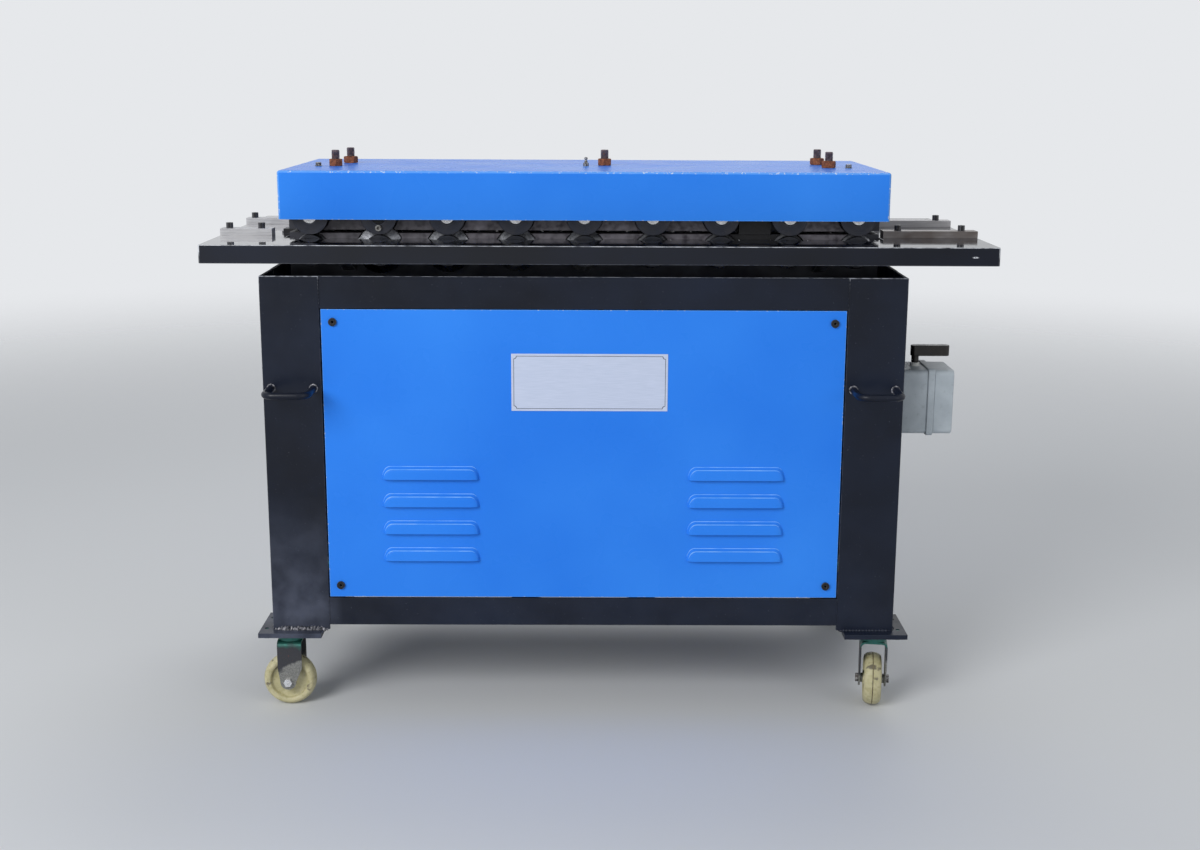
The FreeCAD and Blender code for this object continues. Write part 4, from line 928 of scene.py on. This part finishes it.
def name_plate():
    """The bare plate on the front panel: a raised rim of ink with notched corners, and nothing else on it."""
    x0, x1 = -160 * mm, 125 * mm
    z0, z1 = 582 * mm, 688 * mm
    thickness = 0.8 * mm
    notch = 5 * mm
    ink_height = 0.05 * mm
    ink_depth = 0.1 * mm
    panel_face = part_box("front_panel")[1][1] - panel_sheet

    def outline(inset):
        """The plate's edge moved inwards, with a quarter circle scooped out of each corner."""
        t = np.linspace(0, math.pi / 2, 7)
        scoop = notch * np.stack([np.cos(t), np.sin(t)], axis=-1)[::-1]
        a, b, c, d = x0 + inset, x1 - inset, z0 + inset, z1 - inset
        corners = []
        for spin, corner in enumerate(((a, c), (b, c), (b, d), (a, d))):
            angle = spin * math.pi / 2
            turn = np.array([[math.cos(angle), math.sin(angle)], [-math.sin(angle), math.cos(angle)]])
            corners.append(np.array(corner) + scoop @ turn)
        return np.concatenate(corners)

    body = plate_shape([(x0, z0), (x1, z0), (x1, z1), (x0, z1)], thickness)
    body = moved(body, (0, panel_face - thickness, 0))
    new_piece("name_plate", body, aluminium, "front_panel", edge=0.3 * mm)
    ring = np.stack([outline(4 * mm), outline(5 * mm)])
    level = panel_face - thickness - ink_height
    line = np.stack([ring[..., 0], np.full(ring.shape[:2], level), ring[..., 1]], axis=-1)
    rim = np.concatenate([line, (line + (0, ink_depth, 0))[::-1]])
    border = grid_shape(rim, wrap_rows=True, wrap_columns=True)
    new_piece("name_plate_border", border, ink, "front_panel")


def cover_top_fixings():
    """Studs with their threads, nuts, the small screws with their washers, and the grease nipple."""
    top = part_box("head_cover")[1][2]
    rods = []
    for low, high in solids("pressure_studs"):
        x, y = (low[:2] + high[:2]) / 2
        radius = (high[0] - low[0]) / 2
        start = max(low[2] + 1 * mm, top - 6 * mm)
        rods.append(moved(thread_shape(radius, 1.25 * mm, 2.5 * mm, low[2], start, high[2]), (x, y, 0)))
    new_piece("threaded_studs", joined(rods), stud_brown, "pressure_studs", sharp=50, stands_for=True)
    nuts = []
    for number, (low, high) in enumerate(solids("jam_nuts")):
        x, y = (low[:2] + high[:2]) / 2
        nut = hexagon_shape(24 * mm, high[2] - low[2], bore=8.05 * mm, turn=0.2 + 0.37 * number)
        nuts.append(moved(nut, (x, y, low[2])))
    new_piece("rusty_nuts", joined(nuts), rust, "jam_nuts", sharp=28, stands_for=True)
    small = []
    washer = 1.1 * mm
    for low, high in solids("cover_fixings"):
        x, y = (low[:2] + high[:2]) / 2
        tip = high[2]
        if tip - low[2] > 10 * mm:
            nipple = [(0, top), (5.5 * mm, top), (5.5 * mm, top + 5 * mm), (4.9 * mm, top + 6 * mm),
                      (3.4 * mm, top + 6.4 * mm), (2.9 * mm, top + 9 * mm), (2.2 * mm, top + 11 * mm),
                      (2.2 * mm, top + 12 * mm), (3.3 * mm, top + 13.6 * mm), (3.2 * mm, tip - 1.6 * mm),
                      (2.2 * mm, tip - 0.4 * mm), (0.9 * mm, tip), (0, tip)]
            small.append(moved(lathe_shape(nipple, 32), (x, y, 0)))
        else:
            disc = [(0, top), (7.2 * mm, top), (7.2 * mm, top + 0.8 * mm), (6.8 * mm, top + washer),
                    (0, top + washer)]
            small.append(moved(lathe_shape(disc, 40), (x, y, 0)))
            small.append(moved(hexagon_shape(10 * mm, tip - top - washer, turn=0.4), (x, y, top + washer)))
    new_piece("cover_screws", joined(small), zinc_screw, "cover_fixings", sharp=28, stands_for=True)


def head():
    """The cover, the plates, blocks and spacers under it, and what shows between the cover and the
    table."""
    dressed("head_cover", azure, 0.7 * mm)
    dressed("lower_bearing_plates", plate_grey, 0.6 * mm)
    dressed("upper_bearing_plates", plate_grey, 0.6 * mm)
    dressed("head_spacers", plate_grey, 0.8 * mm)
    stop_middle = first_station + 6.5 * station_pitch
    stop_half = 29.5 * mm
    entry_end = first_station - 40 * mm

    def dark_blocks(centre):
        """1 on the faces of the front stop block and of the entry block, 0 on the others."""
        stop = (np.abs(centre[:, 0] - stop_middle) < stop_half) & (centre[:, 1] < 0)
        return np.where(stop | (centre[:, 0] < entry_end), 1, 0)

    dressed("guide_blocks", [block_grey, oxide], 0.7 * mm, pick=dark_blocks)
    dressed("guide_bars", ground, 0.7 * mm)
    dressed("socket_screws", oxide, 0.4 * mm)


def rolls():
    """Roll shafts with their gears and bright end discs, the idlers, and the screw in the second upper
    roll. The second upper roll's end disc is black instead, a painted shade."""
    bevel_start = 29 * mm
    bevel_back = roll_face - 36 * mm
    bevel_front = roll_face - 1 * mm
    gear_room = 90 * mm
    disc_start = roll_face + 0.2 * mm

    def outer_parts(centre):
        """1 on the end discs, 2 on the gears in the middle, 0 on the rest."""
        along = np.abs(centre[:, 1])
        return np.where(along > disc_start, 1, np.where(along < gear_room, 2, 0))

    def lower_parts(centre):
        """3 on the bevels and rims of the front rolls, otherwise as outer_parts."""
        x = (centre[:, 0] - first_station + station_pitch / 2) % station_pitch - station_pitch / 2
        radius = np.hypot(x, centre[:, 2] - lower_axis)
        wing = (radius > bevel_start) & (centre[:, 1] < -bevel_back) & (centre[:, 1] > -bevel_front)
        return np.where(wing, 3, outer_parts(centre))

    for i in range(station_count):
        number = str(i + 1)
        lower = [lower_steel, bright, gear_grey, bevel_bare]
        # The second upper roll's end disc is black: painted shade, where that roll lies in shadow
        upper = [upper_steel, oxide if i == 1 else bright, gear_grey]
        dressed("lower_roll_shaft_" + number, lower, 0.5 * mm, pick=lower_parts)
        dressed("upper_roll_shaft_" + number, upper, 0.5 * mm, pick=outer_parts)
    for i in range(station_count - 1):
        dressed("idler_gear_" + str(i + 1), gear_grey, 0.4 * mm)
    head_and_hole = np.array([(0, -1), (6, -1), (6, 5), (5.4, 5.6), (3, 5.6), (3, 2.5), (0, 2.5)]) * mm
    screw = pointed(lathe_shape(head_and_hole, 40), (0, -1, 0))
    screw = moved(screw, (first_station + station_pitch, -roll_face, upper_axis - 21 * mm))
    new_piece("roll_screw", screw, zinc_screw, "upper_roll_shaft_2")


def drive():
    """The gear motor and its chain drive inside the cabinet."""
    dressed("gear_motor", motor_grey, 1.5 * mm, 3)
    dressed("motor_output", gear_grey, 0.4 * mm)
    dressed("drive_chain", gear_grey, 0.4 * mm)


def switch():
    """The drum switch on the side: its base with the white bush on top, its cover and the black
    handle."""
    bush_foot = 645.3 * mm
    dressed("switch_base", [switch_grey, bush_white], 3.4 * mm, 4,
            lambda centre: np.where(centre[:, 2] > bush_foot, 1, 0))
    dressed("switch_cover", switch_grey, 4.5 * mm, 5)
    dressed("switch_lever", lever_black, 3.0 * mm, 4)


def casters():
    """Plates, races, forks and axle bolts in zinc, and the cream wheels. Half of a wheel's section, in
    millimetres, runs from the bore over the hub, the recess and the rim to the crowned tread, whose
    radius is wheel - crown (1 - sqrt(1 - s s)) at a share s of half the tread's width, and ends in a
    narrow groove."""
    bolt_radius = 8.3 * mm
    bolt_start = 26.4 * mm
    wheel = 50
    crown = 9
    half_tread = 16.5
    dressed("caster_tops", zinc_left, 0.6 * mm)
    share = np.sin(np.linspace(math.pi / 2, 0, 15)[:-1])
    tread = np.stack([wheel - crown * (1 - np.sqrt(1 - share ** 2)), half_tread * share], axis=-1)
    side = [(6.1, 18), (13.2, 18), (14, 17.2), (14, 10.5), (15.5, 9), (33, 8.6), (34.4, 9.6), (35.4, 14.6),
            (36.6, 15.9)]
    groove = [(49.98, 1.1), (49.3, 0.8)]
    half = np.concatenate([side, tread, groove]) * mm
    section = np.concatenate([half, (half * (1, -1))[::-1], half[:1]])
    ring = np.array([(49.0, -0.9), (49.6, -0.9), (49.6, 0.9), (49.0, 0.9), (49.0, -0.9)]) * mm
    wheel_joints = {joint["child"]: joint for joint in frame["joints"]}
    for corner in ("front_left", "front_right", "rear_left", "rear_right"):
        node_name = "caster_wheel_" + corner
        joint = wheel_joints[node_body[node_name]]
        axis = np.array(joint["axis"])
        middle = np.array(joint["pos_m"])

        def bolt_heads(centre):
            """1 on the ends of the axle bolt, 0 on the fork."""
            along = (centre - middle) @ axis
            reach = np.linalg.norm(centre - middle - along[:, None] * axis, axis=1)
            return np.where((reach < bolt_radius) & (np.abs(along) > bolt_start), 1, 0)

        plated = zinc_left if middle[0] < 0 else zinc_right
        bolts = bright if corner == "front_left" else zinc_screw
        dressed("caster_fork_" + corner, [plated, bolts], 1.0 * mm, 3, bolt_heads)
        shape = moved(pointed(lathe_shape(section, 96), axis), middle)
        new_piece("nylon_wheel_" + corner, shape, nylon, node_name, sharp=50, stands_for=True)
        line = moved(pointed(lathe_shape(ring, 96), axis), middle)
        new_piece("parting_line_" + corner, line, grime, node_name, sharp=50)


cabinet()
weld_beads()
panel("front_panel", -1)
panel("rear_panel", 1)
handles()
name_plate()
cover_top_fixings()
head()
rolls()
drive()
switch()
casters()


def floor():
    """A pale floor round the machine. It fades into the background before its edge shows. Sizes are in
    metres."""
    size = 14.0
    fade_start = 2.0
    fade_end = 6.5
    made = bpy.data.materials.new("pale_floor")
    made.use_nodes = True
    tree = made.node_tree
    shader = tree.nodes["Principled BSDF"]
    shader.inputs["Base Color"].default_value = linear("#D9DBDD")
    shader.inputs["Roughness"].default_value = 0.75
    place = add(tree, "TexCoord", output="Object")
    away = add(tree, "VectorMath", {0: place}, output="Value", operation="LENGTH")
    reach = {"Value": away, "From Min": fade_start, "From Max": fade_end}
    fade = add(tree, "MapRange", reach, interpolation_type="SMOOTHSTEP")
    clear = add(tree, "BsdfTransparent")
    output = tree.nodes["Material Output"].inputs["Surface"]
    add(tree, "MixShader", {0: fade, 1: shader.outputs[0], 2: clear}, to=output)
    mesh = bpy.data.meshes.new("pale_floor")
    corners = [(-size, -size, 0), (size, -size, 0), (size, size, 0), (-size, size, 0)]
    mesh.from_pydata(corners, [], [(0, 1, 2, 3)])
    mesh.materials.append(made)
    in_scene("pale_floor", mesh)


def studio_light():
    """A pale world that the camera, gloss and glass see as a plain background, and three large soft
    lamps. Each lamp has a place, a target, a width in metres and a power in watts."""
    world = bpy.data.worlds.new("studio")
    bpy.context.scene.world = world
    world.use_nodes = True
    tree = world.node_tree
    light = tree.nodes["Background"]
    light.inputs["Color"].default_value = linear("#E4E8EE")
    light.inputs["Strength"].default_value = 0.38
    seen = add(tree, "Background", {"Color": "#E6E8EB", "Strength": 1.0})
    rays = add(tree, "LightPath").node.outputs
    either = add(tree, "Math", {0: rays["Is Camera Ray"], 1: rays["Is Glossy Ray"]}, operation="ADD")
    any_of = add(tree, "Math", {0: either, 1: rays["Is Transmission Ray"]}, operation="ADD", use_clamp=True)
    output = tree.nodes["World Output"].inputs["Surface"]
    add(tree, "MixShader", {0: any_of, 1: light.outputs[0], 2: seen}, to=output)
    lamps = {"key_lamp": ((-2.9, -4.2, 3.1), (0, 0, 0.6), 3.0, 200.0),
             "fill_lamp": ((3.4, -3.2, 1.7), (0, 0, 0.6), 2.6, 24.0),
             "back_lamp": ((0.6, 2.6, 4.0), (0, 0, 0.7), 3.0, 55.0)}
    for name, (place, target, width, power) in lamps.items():
        data = bpy.data.lights.new(name, "AREA")
        data.shape = "DISK"
        data.size = width
        data.energy = power
        lamp = in_scene(name, data)
        lamp.location = place
        aim = np.array(target) - np.array(place)
        flat = math.hypot(aim[0], aim[1])
        lamp.rotation_euler = (math.atan2(flat, -aim[2]), 0, math.atan2(-aim[0], aim[1]))


def camera():
    """The camera at the photograph's place and angle."""
    data = bpy.data.cameras.new("camera")
    data.lens = camera_lens
    data.sensor_width = 36.0
    data.sensor_fit = "HORIZONTAL"
    data.clip_end = 60.0
    eye = in_scene("camera", data)
    eye.rotation_mode = "XYZ"
    eye.location = camera_place
    pitch, yaw, roll = (math.radians(a) for a in (camera_pitch, camera_yaw, camera_roll))
    level = Matrix.Rotation(yaw, 4, "Z") @ Matrix.Rotation(math.pi / 2 + pitch, 4, "X")
    eye.rotation_euler = (level @ Matrix.Rotation(roll, 4, "Z")).to_euler("XYZ")
    bpy.context.scene.camera = eye


floor()
studio_light()
camera()
bpy.context.scene.view_settings.view_transform = "Standard"
bpy.context.view_layer.update()
